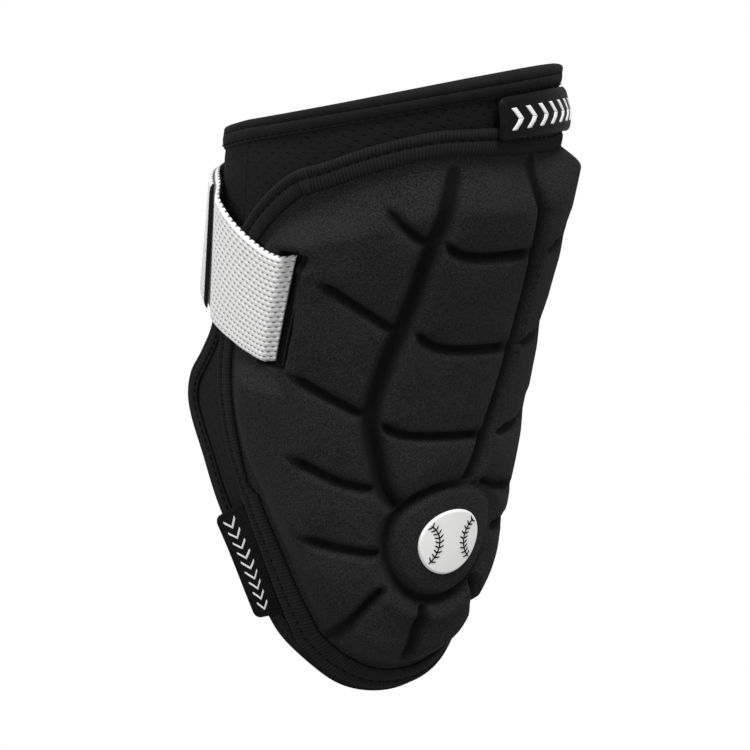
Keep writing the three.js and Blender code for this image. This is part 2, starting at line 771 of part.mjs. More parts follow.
// The tape sewn over the shell's edge and down its side
function tapeBody() {
  const top = TAPE_OFFSET + TAPE_WALL;
  const inner = TAPE_WIDTH - TAPE_OVERHANG;
  const section = [
    [inner, TAPE_OFFSET],
    [inner, top],
    [-TAPE_OVERHANG, top],
    [-TAPE_OVERHANG, SHELL_OFFSET],
    [-GAP, SHELL_OFFSET],
    [-GAP, TAPE_OFFSET],
  ];
  return sweep(shellEdge(SHELL_COLUMNS, SHELL_ROWS), () => section);
}

// A point of the strap, straight across its width: share of the way from its lower edge to
// its upper one, and offset from its inner face
function strapPoint(angle, up, offset) {
  const base = strapOffset(angle) + offset;
  const low = place(angle, strapMiddle(angle) - strapHalf(angle), base);
  const high = place(angle, strapMiddle(angle) + strapHalf(angle), base);
  return low.lerp(high, up);
}

const degreesFor = (length) => length / armSlopes(TAB_ANGLE, STRAP_LEVEL).across.length();

function strapBody() {
  const start = SLOT_ANGLE + degreesFor(SLOT_MARGIN);
  return sheet(STRAP_STATIONS, 1, (across, up, face) => {
    const end = start - SLOT_LEAN * up;
    const angle = turnBetween(0, lerp(end, 360 - end, across));
    return strapPoint(angle, up, face * STRAP_WALL);
  });
}

// The strap's free end, laid over the strap behind the arm, and the tape across its end
function tabSheet(columns, startAngle, endAngle, wall) {
  return sheet(columns, 1, (across, up, face) => {
    const angle = lerp(startAngle, endAngle, across);
    const share = 0.5 + ((up - 0.5) * TAB_WIDTH) / (2 * strapHalf(angle));
    return strapPoint(angle, share, STRAP_WALL + 2 * GAP + face * wall);
  });
}

// The label on the front of the cuff, which leans out over the tape
function patchBody() {
  const placeAt = (across, up) => {
    const angle = PATCH_ANGLE + PATCH_SPAN * across;
    return { angle, height: rimHeight(angle) - PATCH_DROP - PATCH_HEIGHT * (1 - up) };
  };
  const lean = (up) => clamp((up - PATCH_STAND) / (1 - PATCH_STAND), 0, 1);
  const offset = (angle, height, up) => lerp(OVER_TAPE + 2 * GAP, OVER_HEM, lean(up));
  return laidSheet(10, 4, placeAt, offset, PATCH_WALL);
}

// The label that stands out from under the tape on the -X side and lies on the sleeve
function tagBody() {
  const line = evenly(shellEdge(60, 60), 400);
  const spots = line.map(({ angle, height }) => place(angle, height, 0));
  const step = spots[0].distanceTo(spots[1]);
  const nearSide = (n) => (line[n].angle < 0 ? Math.abs(line[n].height - TAG_LEVEL) : Infinity);
  const middle = line.reduce((best, _, n) => (nearSide(n) < nearSide(best) ? n : best), 0);
  const placeAt = (across, up) => {
    const length = TAG_LENGTH - TAG_SLANT * (1 - across);
    const n = middle - Math.round((up * length - TAG_LENGTH / 2) / step);
    const out = TAPE_OVERHANG + 2 * GAP + TAG_WIDTH * (1 - across);
    return beside(line, n, -out);
  };
  return laidSheet(3, 6, placeAt, () => OVER_HEM, TAG_WALL);
}

// A round badge on the round pod, its grid squeezed into a circle
function badgeBody() {
  const placeAt = (across, up) => {
    const x = 2 * across - 1;
    const y = 2 * up - 1;
    const right = x * Math.sqrt(1 - y ** 2 / 2);
    const above = y * Math.sqrt(1 - x ** 2 / 2);
    const share = (BADGE_RADIUS / DISC_RADIUS) * Math.hypot(right, above);
    return discPlace(share, Math.atan2(above, right));
  };
  const offset = (angle, height) => SHELL_OFFSET + shellThickness(angle, height) + GAP;
  return laidSheet(6, 6, placeAt, offset, BADGE_WALL);
}

// Materials

const cloth = (color, roughness) => new THREE.MeshStandardMaterial({ color, roughness, metalness: 0 });
const podCloth = cloth(0x1b1b1d, 0.86);
const meshCloth = cloth(0x161618, 0.92);
const hemCloth = cloth(0x19191b, 0.9);
const tapeCloth = cloth(0x202022, 0.88);
const whiteElastic = cloth(0xe9e9e7, 0.85);
const rubber = cloth(0x101012, 0.6);
const wovenLabel = cloth(0x0c0c0d, 0.8);
const whitePrint = cloth(0xf4f4f2, 0.5);

// The guard

const guard = new THREE.Group();

function add(name, geometry, material) {
  const mesh = new THREE.Mesh(geometry, material);
  mesh.name = name;
  guard.add(mesh);
}

const tabStart = -TAB_ANGLE - TAB_SPAN;
const tabEnd = -TAB_ANGLE - degreesFor(GAP);
const tabTapeEnd = -TAB_ANGLE + degreesFor(TAB_TAPE_WIDTH);

add("sleeve", sleeveBody(), meshCloth);
add("rim_hem", rimHemBody(), hemCloth);
add("lower_hem", lowerHemBody(), hemCloth);
add("shell", shellBody(), podCloth);
add("shell_tape", tapeBody(), tapeCloth);
add("strap", strapBody(), whiteElastic);
add("strap_tab", tabSheet(10, tabStart, tabEnd, TAB_WALL), whiteElastic);
add("strap_tab_tape", tabSheet(1, -TAB_ANGLE, tabTapeEnd, TAB_WALL), tapeCloth);
add("cuff_patch", patchBody(), rubber);
add("side_tag", tagBody(), wovenLabel);
add("ball_badge", badgeBody(), whitePrint);

const strapSection = section(STRAP_LEVEL);
const hollowMiddle = strapSection.centre + (strapSection.back - strapSection.front) / 2;
guard.position.set(0, -hollowMiddle, -STRAP_LEVEL);

export default guard;
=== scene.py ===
"""Looks of a batter's elbow guard: pebbled foam pods, perforated mesh cloth, ribbed tape, a knit
strap and small labels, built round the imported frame. Lengths are in millimetres until a mesh is
made. A place is an angle round the arm in degrees, a height above the lowest point, and an
offset out from the arm, as in the part's own source."""

import math

import bpy
import numpy as np
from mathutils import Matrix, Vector


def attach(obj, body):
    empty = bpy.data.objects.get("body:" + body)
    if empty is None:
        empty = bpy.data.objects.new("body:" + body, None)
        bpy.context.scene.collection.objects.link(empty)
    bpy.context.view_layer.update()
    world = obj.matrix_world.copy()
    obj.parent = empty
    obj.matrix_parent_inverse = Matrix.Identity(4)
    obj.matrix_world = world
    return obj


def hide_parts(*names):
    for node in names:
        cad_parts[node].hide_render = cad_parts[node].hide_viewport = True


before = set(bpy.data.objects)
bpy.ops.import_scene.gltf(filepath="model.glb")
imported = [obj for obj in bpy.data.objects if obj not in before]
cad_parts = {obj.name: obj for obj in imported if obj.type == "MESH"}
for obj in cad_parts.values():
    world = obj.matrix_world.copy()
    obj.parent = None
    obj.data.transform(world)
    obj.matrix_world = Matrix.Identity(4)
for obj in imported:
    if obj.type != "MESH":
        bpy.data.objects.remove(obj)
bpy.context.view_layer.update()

MM = 0.001
THREAD_END = 0.45  # a thread's radius at its ends, as a share

# Sizes, as in the part's source
GUARD_HEIGHT = 222
ARM_WIDTH = 114
ARM_FRONT = 59
ARM_BACK = 42
TIP_SET_BACK = 22
RIM_DROP = 24
SIDE_RISE = 5.4
GAP = 0.3
FOLD_GAP = 0.6
SHELL_GAP = 1.1
SLEEVE_WALL = 1.6
HEM_HEIGHT = 8
HEM_WALL = 0.8
FLANGE_WALL = 1.4
FLANGE_SHOW = 3.5
POD_RISE = 9.4
LOW_POD_RISE = 6.6
SHOULDER_RUN = 11
SIDE_THINNING = 0.3
SEAT_WALL = 4
TAPE_WIDTH = 8.4
TAPE_WALL = 1.0
TAPE_OVERHANG = 1.5
GROOVE_DEPTH = 4.6
CROSS_SHARE = 0.85
DISC_RADIUS = 20.5
DISC_DROP = 1.4
DISC_ANGLE = 5
DISC_LEVEL = 0.27
BADGE_RADIUS = 11
BADGE_WALL = 0.6
STRAP_WIDTH = 38
STRAP_BACK_WIDTH = 50
STRAP_WALL = 1.6
STRAP_LEVEL = 143
STRAP_BACK_RISE = 20
SLOT_ANGLE = 65
SLOT_LEAN = 6
SLOT_MARGIN = 1.2
TAB_WIDTH = 46
TAB_WALL = 1.4
TAB_ANGLE = 111
TAB_SPAN = 52
TAB_TAPE_WIDTH = 1.5
PATCH_HEIGHT = 13.6
PATCH_WALL = 1.0
PATCH_ANGLE = -1
PATCH_SPAN = 50
PATCH_DROP = 7.4
PATCH_STAND = 0.4
TAG_LENGTH = 40
TAG_WIDTH = 13.5
TAG_SLANT = 6
TAG_WALL = 0.8
TAG_LEVEL = 52.5

# Sections of the arm's hollow: height, width, front, back, set back, as shares
SECTIONS = np.array([
    (0.0, 0.47, 0.36, 0.71, 0.95),
    (0.054, 0.545, 0.46, 0.95, 0.86),
    (0.135, 0.63, 0.56, 1.31, 0.77),
    (0.225, 0.7, 0.635, 1.67, 0.7),
    (0.36, 0.78, 0.67, 2.02, 0.68),
    (0.495, 0.85, 0.71, 2.02, 0.57),
    (0.63, 0.886, 0.797, 1.31, 0.39),
    (0.765, 0.94, 0.907, 1.13, 0.16),
    (0.878, 0.98, 0.975, 1.02, 0.0),
    (1.0, 0.955, 1.0, 1.0, -0.2),
])

# SHELL_TOP runs from -X to +X, and the other outlines are half outlines, mirrored about the front.
# Heights are shares of GUARD_HEIGHT.
SHELL_TOP = np.array([
    (-85, 0.765), (-78, 0.805), (-66, 0.858), (-56, 0.876), (-44, 0.898), (-33, 0.912),
    (-21, 0.92), (-10, 0.918), (0, 0.914), (10, 0.908), (20, 0.903), (33, 0.897),
    (45, 0.894), (56, 0.889), (66, 0.87), (78, 0.82), (85, 0.765),
])
SHELL_SIDE = np.array([
    (0.108, 63), (0.18, 73), (0.247, 80.5), (0.325, 89), (0.4, 94), (0.49, 96.6),
    (0.57, 97.6), (0.65, 96.5), (0.715, 91), (0.765, 85),
])
SHELL_BOTTOM = np.array([(0, 0.027), (17, 0.031), (34, 0.045), (50, 0.072), (63, 0.108)])
SLEEVE_BOTTOM = np.array([
    (180, 0.7), (145, 0.695), (122, 0.67), (111, 0.6), (113, 0.545), (118, 0.5), (119, 0.45),
    (112, 0.37), (107, 0.29), (98, 0.2), (84, 0.118), (64, 0.07), (36, 0.024), (0, 0.008),
])

# Height, left angle, right angle of the two grooves down the front
LONG_GROOVES = np.array([
    (0.332, -17.5, 11), (0.362, -23.5, 12), (0.414, -27, 16), (0.477, -30, 20), (0.55, -28, 23),
    (0.653, -23, 24), (0.766, -19, 21.5), (0.885, -12.5, 17.5),
])

# Three places, each angle and height, and where the groove dies out
CROSS_GROOVES = [
    (-20, 0.766, -28, 0.79, -36, 0.825, "end"),
    (-26, 0.63, -39, 0.668, -53, 0.708, "end"),
    (-32, 0.49, -44, 0.518, -60, 0.556, "end"),
    (-29, 0.368, -41, 0.383, -60, 0.424, "end"),
    (-26, 0.26, -42, 0.272, -58, 0.29, "end"),
    (-25, 0.203, -39, 0.144, -51, 0.106, "end"),
    (-17, 0.773, -7, 0.745, 16, 0.739, "start"),
    (-20.5, 0.632, -9, 0.598, 17, 0.586, "start"),
    (-28.5, 0.484, -17, 0.454, 12, 0.441, "start"),
    (28, 0.737, 42, 0.739, 56, 0.77, "both"),
    (27, 0.586, 44, 0.586, 60, 0.63, "both"),
    (22, 0.437, 40, 0.441, 60, 0.48, "both"),
    (22, 0.356, 36, 0.338, 56, 0.325, "end"),
    (37, 0.27, 47, 0.268, 58, 0.28, "end"),
    (26, 0.2, 38, 0.145, 50, 0.11, "end"),
    (-3, 0.167, -3.5, 0.12, -5, 0.066, "end"),
]

# Form


def ease(share):
    t = np.clip(share, 0, 1)
    return t * t * (3 - 2 * t)


def lerp(a, b, share):
    return a + (b - a) * share


def curve_through(xs, ys):
    """A smooth function through points, level past its ends."""
    n = np.arange(len(xs))
    before = np.maximum(n - 1, 0)
    after = np.minimum(n + 1, len(xs) - 1)
    slopes = (ys[after] - ys[before]) / (xs[after] - xs[before])

    def at(value):
        x = np.clip(value, xs[0], xs[-1])
        k = np.clip(np.searchsorted(xs, x, side="right") - 1, 0, len(xs) - 2)
        run = xs[k + 1] - xs[k]
        t = (x - xs[k]) / run
        start = (1 + 2 * t) * (1 - t) ** 2 * ys[k] + t * (1 - t) ** 2 * run * slopes[k]
        end = t * t * (3 - 2 * t) * ys[k + 1] + t * t * (t - 1) * run * slopes[k + 1]
        return start + end

    return at


width_share, front_share, back_share, set_back_share = (
    curve_through(SECTIONS[:, 0], SECTIONS[:, i]) for i in range(1, 5)
)
top_edge = curve_through(SHELL_TOP[:, 0], SHELL_TOP[:, 1])
side_edge = curve_through(SHELL_SIDE[:, 0], SHELL_SIDE[:, 1])
bottom_edge = curve_through(SHELL_BOTTOM[:, 0], SHELL_BOTTOM[:, 1])


def section(height):
    share = height / GUARD_HEIGHT
    return (
        width_share(share) * ARM_WIDTH / 2,
        front_share(share) * ARM_FRONT,
        back_share(share) * ARM_BACK,
        set_back_share(share) * TIP_SET_BACK,
    )


_, FRONT, BACK, CENTRE = section(STRAP_LEVEL)
HOLLOW_MIDDLE = CENTRE + (BACK - FRONT) / 2


def arm_point(angle, height):
    side, front, back, centre = section(height)
    turn = np.radians(angle)
    depth = np.where(np.cos(turn) > 0, front, back)
    lean = SIDE_RISE * np.sin(turn) * ease((height / GUARD_HEIGHT - 0.72) / 0.28)
    x = side * np.sin(turn)
    y = centre - depth * np.cos(turn) - HOLLOW_MIDDLE
    return np.stack([x, y, height + lean - STRAP_LEVEL], axis=-1)


def arm_slopes(angle, height):
    """Along the surface, in mm for each degree and for each mm of height."""
    across = arm_point(angle + 0.5, height) - arm_point(angle - 0.5, height)
    up = arm_point(angle, height + 0.5) - arm_point(angle, height - 0.5)
    return across, up


def place(angle, height, offset):
    angle, height, offset = np.broadcast_arrays(
        *(np.asarray(v, float) for v in (angle, height, offset))
    )
    across, up = arm_slopes(angle, height)
    out = np.cross(across, up)
    out /= np.linalg.norm(out, axis=-1, keepdims=True)
    return arm_point(angle, height) + out * offset[..., None]


def girth(angle, height):
    """Distance round the arm from the front, for patterns laid along the cloth."""
    side, front, back, _ = section(height)
    near = np.minimum(np.abs(angle), 90)
    past = np.radians(np.abs(angle) - near)
    return np.sign(angle) * ((side + front) / 2 * np.radians(near) + (side + back) / 2 * past)


def turn_between(start, end):
    return (end - start + 180) % 360 - 180


def beside(line, distance):
    """A closed line of places, moved to its left along the surface."""
    angle, height = line
    turn = turn_between(np.roll(angle, 1), np.roll(angle, -1))
    climb = np.roll(height, -1) - np.roll(height, 1)
    across, up = arm_slopes(angle, height)
    per_degree = np.linalg.norm(across, axis=-1)
    per_height = np.linalg.norm(up, axis=-1)
    along = np.stack([turn * per_degree, climb * per_height])
    along /= np.linalg.norm(along, axis=0)
    return angle - distance * along[1] / per_degree, height + distance * along[0] / per_height


def evenly(line, count, closed=True):
    """A line of places again, evenly spaced. Its angle may turn past the back."""
    angle, height = line
    if closed:
        angle = np.append(angle, angle[0])
        height = np.append(height, height[0])
    steps = np.linalg.norm(np.diff(place(angle, height, 0), axis=0), axis=1)
    reach = np.concatenate([[0], np.cumsum(steps)])
    angle = angle[0] + np.concatenate([[0], np.cumsum(turn_between(angle[:-1], angle[1:]))])
    at = np.linspace(0, reach[-1], count, endpoint=not closed)
    return np.interp(at, reach, angle), np.interp(at, reach, height)


def line_length(line):
    spots = place(*line, 0)
    return np.linalg.norm(np.roll(spots, -1, axis=0) - spots, axis=1).sum()


def distance_to(spots, line, chunk=6000):
    """Distance from each point to a line of points, and how far along it the nearest one is."""
    start = line[:-1]
    run = np.diff(line, axis=0)
    length = np.maximum(np.linalg.norm(run, axis=1), 1e-9)
    reach = np.concatenate([[0], np.cumsum(length)])
    best = np.empty(len(spots))
    along = np.empty(len(spots))
    for at in range(0, len(spots), chunk):
        lead = spots[at : at + chunk, None, :] - start[None]
        share = np.clip((lead * run).sum(-1) / length**2, 0, 1)
        away = np.linalg.norm(lead - share[..., None] * run, axis=-1)
        nearest = away.argmin(1)
        rows = np.arange(len(nearest))
        best[at : at + chunk] = away[rows, nearest]
        along[at : at + chunk] = reach[nearest] + share[rows, nearest] * length[nearest]
    return best, along


# Outlines


def shell_edge(columns, rows):
    """The shell's edge with the shell on its left, in the order bottom, +X side, top, -X side."""
    lower, upper = SHELL_SIDE[0, 0] * GUARD_HEIGHT, SHELL_SIDE[-1, 0] * GUARD_HEIGHT
    i = np.arange(columns) / columns
    j = np.arange(rows) / rows
    i = lerp(i, (1 - np.cos(np.pi * i)) / 2, 0.5)
    j = lerp(j, (1 - np.cos(np.pi * j)) / 2, 0.5)
    low_angle = SHELL_BOTTOM[-1, 0] * (2 * i - 1)
    top_angle = SHELL_TOP[-1, 0] * (1 - 2 * i)
    right = lerp(lower, upper, j)
    left = lerp(upper, lower, j)
    angle = [
        low_angle, side_edge(right / GUARD_HEIGHT), top_angle, -side_edge(left / GUARD_HEIGHT),
    ]
    height = [
        bottom_edge(np.abs(low_angle)) * GUARD_HEIGHT, right,
        top_edge(top_angle) * GUARD_HEIGHT, left,
    ]
    return np.concatenate(angle), np.concatenate(height)


def softened(line, rounds):
    """A closed line with its small corners rounded off."""
    angle, height = line
    for _ in range(rounds):
        back, on = (turn_between(angle, np.roll(angle, way)) for way in (1, -1))
        angle = angle + back / 4 + on / 4
        height = (2 * height + np.roll(height, 1) + np.roll(height, -1)) / 4
    return angle, height


def grid_inside(line, columns, rows):
    """Places inside a closed line as a grid, blended from the line's four sides."""
    u = np.linspace(0, 1, columns + 1)[None]
    v = np.linspace(0, 1, rows + 1)[:, None]
    blended = []
    for values in line:
        ring = np.append(values, values[0])
        low = ring[: columns + 1][None]
        right = ring[columns : columns + rows + 1][:, None]
        high = ring[columns + rows : 2 * columns + rows + 1][::-1][None]
        left = ring[2 * columns + rows :][::-1][:, None]
        corners = lerp(lerp(low[:, :1], low[:, -1:], u), lerp(high[:, :1], high[:, -1:], u), v)
        blended.append(lerp(low, high, v) + lerp(left, right, u) - corners)
    return blended


def sleeve_edge(stations):
    """The sleeve's lower edge from the back over -X and the front to the back again."""
    near = np.stack([-SLEEVE_BOTTOM[:, 0], SLEEVE_BOTTOM[:, 1] * GUARD_HEIGHT], axis=1)
    far = near[-2::-1] * (-1, 1)
    spots = np.concatenate([near, far])
    flat = np.stack([girth(spots[:, 0], spots[:, 1]), spots[:, 1]], axis=1)
    knots = np.concatenate([[0], np.cumsum(np.linalg.norm(np.diff(flat, axis=0), axis=1) ** 0.5)])
    fine = np.linspace(0, knots[-1], 3000)
    angle = curve_through(knots, spots[:, 0])(fine)
    height = curve_through(knots, spots[:, 1])(fine)
    angle, height = evenly((angle, height), stations + 1, closed=False)
    return angle[:-1], height[:-1]


def rim_height(angle):
    return GUARD_HEIGHT - RIM_DROP * (1 - np.cos(np.radians(angle))) / 2


def rim_line(low):
    """The rim with a station above each one of the lower edge."""
    stations = len(low[0])
    middle = stations // 2
    notch = int(np.argmax(np.diff(np.abs(low[0][:middle])) > 0))
    notch_angle = abs(low[0][notch])
    n = np.arange(stations)
    from_front = np.abs(n - middle)
    past = np.maximum(0, from_front - (middle - notch)) / notch
    before = np.minimum(1, from_front / (middle - notch))
    angle = np.sign(n - middle) * (notch_angle * before + (180 - notch_angle) * past)
    return angle, rim_height(angle)


# Offsets of the layers, from the arm outwards
SHELL_OFFSET = SLEEVE_WALL + SHELL_GAP
HEM_OFFSET = SLEEVE_WALL + FOLD_GAP
TAPE_OFFSET = SHELL_OFFSET + FLANGE_WALL + GAP
OVER_HEM = HEM_OFFSET + HEM_WALL + GAP
OVER_TAPE = TAPE_OFFSET + TAPE_WALL + GAP


def back_of(angle):
    return ease((np.abs(angle) - SLOT_ANGLE) / 60)


def strap_middle(angle):
    return STRAP_LEVEL + STRAP_BACK_RISE * back_of(angle)


def strap_half(angle):
    return lerp(STRAP_WIDTH, STRAP_BACK_WIDTH, back_of(angle)) / 2


def seat_wall(angle):
    return lerp(SEAT_WALL, FLANGE_WALL + TAPE_WALL, ease((np.abs(angle) - SLOT_ANGLE) / 20))


def slot_angle(height):
    """The slot's wall leans towards the front as it climbs."""
    return SLOT_ANGLE - SLOT_LEAN * np.clip((height - STRAP_LEVEL) / STRAP_WIDTH + 0.5, 0, 1)


def strap_offset(angle):
    over_seat = np.maximum(SHELL_OFFSET + seat_wall(angle) + GAP, OVER_TAPE)
    edge = side_edge(STRAP_LEVEL / GUARD_HEIGHT)
    return lerp(over_seat, OVER_HEM, ease((np.abs(angle) - edge - 4) / 10))


def disc_place(radius, turn):
    across, up = arm_slopes(DISC_ANGLE, DISC_LEVEL * GUARD_HEIGHT)
    angle = DISC_ANGLE + radius * np.cos(turn) / np.linalg.norm(across)
    height = DISC_LEVEL * GUARD_HEIGHT + radius * np.sin(turn) / np.linalg.norm(up)
    return angle, height


# Meshes


def new_mesh(name, points, face_sets, uv=None, attributes=None):
    """An object from points in mm and arrays of faces, each of one number of corners."""
    mesh = bpy.data.meshes.new(name)
    points = np.asarray(points, float).reshape(-1, 3)
    corners = np.concatenate([np.asarray(faces).ravel() for faces in face_sets])
    totals = np.concatenate([np.full(len(faces), np.shape(faces)[1]) for faces in face_sets])
    starts = np.concatenate([[0], np.cumsum(totals)[:-1]])
    mesh.vertices.add(len(points))
    mesh.vertices.foreach_set("co", (points * MM).ravel())
    mesh.loops.add(len(corners))
    mesh.polygons.add(len(totals))
    mesh.polygons.foreach_set("loop_start", starts.astype(np.int32))
    mesh.polygons.foreach_set("vertices", corners.astype(np.int32))
    if uv is not None:
        layer = mesh.uv_layers.new(name="UVMap")
        layer.data.foreach_set("uv", np.asarray(uv, float).reshape(-1, 2)[corners].ravel())
    for key, values in (attributes or {}).items():
        attribute = mesh.attributes.new(key, "FLOAT", "POINT")
        attribute.data.foreach_set("value", np.asarray(values, float).ravel())
    mesh.polygons.foreach_set("use_smooth", np.ones(len(totals), bool))
    mesh.update(calc_edges=True)
    mesh.validate()
    piece = bpy.data.objects.new(name, mesh)
    bpy.context.collection.objects.link(piece)
    return piece


def grid_quads(columns, rows, start=0, wrap=False):
    """Quads of a grid of points stored row by row, facing out when columns run to +X."""
    across = columns if wrap else columns + 1
    i, j = np.meshgrid(np.arange(columns), np.arange(rows))
    a = start + j * across + i
    b = start + j * across + (i + 1) % across
    return np.stack([a, b, b + across, a + across], axis=-1).reshape(-1, 4)


def ring_of(columns, rows, start=0):
    """The border of such a grid, in order."""
    across = columns + 1
    low = np.arange(columns)
    right = np.arange(rows) * across + columns
    high = rows * across + np.arange(columns, 0, -1)
    left = np.arange(rows, 0, -1) * across
    return start + np.concatenate([low, right, high, left])


def join_rings(outer, inner):
    """Quads between two rings of as many points."""
    return np.stack([outer, np.roll(outer, -1), np.roll(inner, -1), inner], axis=-1)


def slab_faces(outer, start):
    """Faces of a closed sheet whose inner grid of points is stored after its outer one."""
    rows, columns = outer.shape[0] - 1, outer.shape[1] - 1
    back = start + outer.shape[0] * outer.shape[1]
    return [
        grid_quads(columns, rows, start),
        grid_quads(columns, rows, back)[:, ::-1],
        join_rings(ring_of(columns, rows, back), ring_of(columns, rows, start)),
    ]


def slab(name, outer, inner, uv=None, attributes=None):
    """A closed sheet from two grids of points with the same number of rows and columns."""
    both = None if uv is None else np.stack([uv, uv])
    doubled = {key: np.stack([values, values]) for key, values in (attributes or {}).items()}
    return new_mesh(name, np.stack([outer, inner]), slab_faces(outer, 0), both, doubled)


def joined(name, parts):
    """One object from several slabs given as pairs of outer and inner grids."""
    points = []
    faces = []
    start = 0
    for pair in parts:
        points.append(np.reshape(pair, (-1, 3)))
        faces += slab_faces(pair[0], start)
        start += len(points[-1])
    return new_mesh(name, np.concatenate(points), faces)


def swept(name, line, section_points, attributes=None):
    """Sections along a closed line of places. section_points has a row of (left, offset) points
    for each station, in an order that runs from the line's left to its right on the outer side."""
    stations, count = section_points.shape[:2]
    threads = [
        place(*beside(line, section_points[:, k, 0]), section_points[:, k, 1]) for k in range(count)
    ]
    n, k = np.meshgrid(np.arange(stations), np.arange(count), indexing="ij")
    here = n * count
    after = (n + 1) % stations * count
    on = (k + 1) % count
    quads = np.stack([here + k, here + on, after + on, after + k], axis=-1).reshape(-1, 4)
    return new_mesh(name, np.stack(threads, axis=1), [quads], attributes=attributes)


def tubes(name, paths, radius, sides=6):
    """Round threads along paths of points, all in one piece."""
    points = []
    faces = []
    caps = []
    start = 0
    turns = np.linspace(0, 2 * np.pi, sides, endpoint=False)[None, :, None]
    for path, outward in paths:
        along = np.gradient(path, axis=0)
        along /= np.linalg.norm(along, axis=1, keepdims=True)
        side = np.cross(along, outward)
        side /= np.linalg.norm(side, axis=1, keepdims=True)
        out = np.cross(side, along)
        thick = np.full((len(path), 1, 1), radius)
        thick[[0, -1]] *= THREAD_END
        around = np.cos(turns) * side[:, None] + np.sin(turns) * out[:, None]
        points.append((path[:, None] + thick * around).reshape(-1, 3))
        n, k = np.meshgrid(np.arange(len(path) - 1), np.arange(sides), indexing="ij")
        a = start + n * sides + k
        b = start + n * sides + (k + 1) % sides
        faces.append(np.stack([a, a + sides, b + sides, b], axis=-1).reshape(-1, 4))
        caps.append(start + np.arange(sides))
        start += len(path) * sides
        caps.append(start - 1 - np.arange(sides))
    return new_mesh(name, np.concatenate(points), [np.concatenate(faces), np.array(caps)])


# The shell: foam pods under one cloth

SHELL_COLUMNS = 240
SHELL_ROWS = 320
INNER_STEP = 4
SIDE_SHOW = 0.55  # bare flange down the sides, as a share of that along the top
CROSS_HALF = 3.0  # from the middle of a groove to its pods' crests
LONG_HALF = 4.2
CROSS_LEAST = 0.45  # share of that width which is left where a groove dies out
LONG_LEAST = 0.6
LONG_SHARE = 1.1  # depth of the long grooves, as a share of GROOVE_DEPTH
CROSS_FALL = 0.6  # how fast a cross groove grows shallow where it dies out, as a power
LOW_WIDENING = 0.5  # grooves below the round pod are wider by this share
CROWN = 0.9  # how far a pod falls from its middle towards its grooves
CROWN_RUN = 11
FADE_RUN = 6  # over which a groove dies out
FADE_AWAY = 8  # how much farther off its pods' middles then take it to be
TOP_RUN = 0.35  # how much longer the pods' shoulder is along the top
CORNER_RUN = 0.45  # how much shorter it is at the upper corner on the +X side
CORNER_REACH = 2.6  # and how much nearer to the edge
RING_HALF = 3.6
CREST_RISE = 1.5  # lit crest on the pods below the round one
CREST_AWAY = 5.4
CREST_SPREAD = 2.4
SLOT_OPENING = 2.4  # how far the slot gapes past its wall in the part's source
TRENCH_WIDTH = 9.4  # slit beside the slot's wall, which the strap goes down into; painted shade darkens the cloth in it
TRENCH_DEPTH = 3.0
LIP_RADIUS = 0.42
# Angle, height over the strap's middle, radius and depth of the hollows at a slot's ends
PITS = ((57.4, STRAP_WIDTH / 2 + 1.2, 4.4, 4.6), (64.4, -STRAP_WIDTH / 2 - 1.4, 3.0, 4.0))

outline = softened(shell_edge(SHELL_COLUMNS, SHELL_ROWS), 6)


def groove_line(places, count=40):
    """A groove as places along a smooth curve."""
    places = np.asarray(places, float)
    t = np.arange(len(places), dtype=float)
    fine = np.linspace(0, t[-1], count)
    angle = curve_through(t, places[:, 0])(fine)
    height = curve_through(t, places[:, 1])(fine) * GUARD_HEIGHT
    return place(angle, height, 0)


def slot_fall(angle, height):
    """How much of the pod is left, 0 on the strap's seat to 1 clear of it, and the slit by it."""
    across = np.linalg.norm(arm_slopes(angle, height)[0], axis=-1)
    inside = (np.abs(angle) - slot_angle(height)) * across + SLOT_OPENING
    above = height - strap_middle(angle)
    past_edge = np.abs(above) - strap_half(angle) - SLOT_MARGIN
    left = np.maximum(ease(-inside / 1.4), ease(past_edge / np.where(above < 0, 8.5, 5.0)))
    slit = ease(inside / 0.8) * (1 - ease((inside - TRENCH_WIDTH) / 1.6))
    return left, slit * (1 - ease(past_edge / 1.2))


def pits(spots):
    """Small hollows in the cloth at the slots' ends."""
    sunk = np.zeros(len(spots))
    for side in (-1, 1):
        for angle, rise, radius, depth in PITS:
            away = np.linalg.norm(spots - place(side * angle, STRAP_LEVEL + rise, 0), axis=-1)
            sunk = np.maximum(sunk, depth * (1 - ease(away / radius)))
    return sunk


def notch(away, half):
    """The section of a groove: a narrow floor, straight walls and crisp crests."""
    share = np.clip(away / half, 0, 1)
    return (1 - share) ** 1.2 * (1 + 0.35 * share)


def grooves():
    """Each groove's line, where it dies out, half width, least width, depth and its fall."""
    for side in (1, 2):
        line = groove_line(LONG_GROOVES[:, (side, 0)])
        yield line, "end", LONG_HALF, LONG_LEAST, LONG_SHARE, 1
    for *numbers, fade in CROSS_GROOVES:
        line = groove_line(np.reshape(numbers, (3, 2)))
        yield line, fade, CROSS_HALF, CROSS_LEAST, CROSS_SHARE, CROSS_FALL


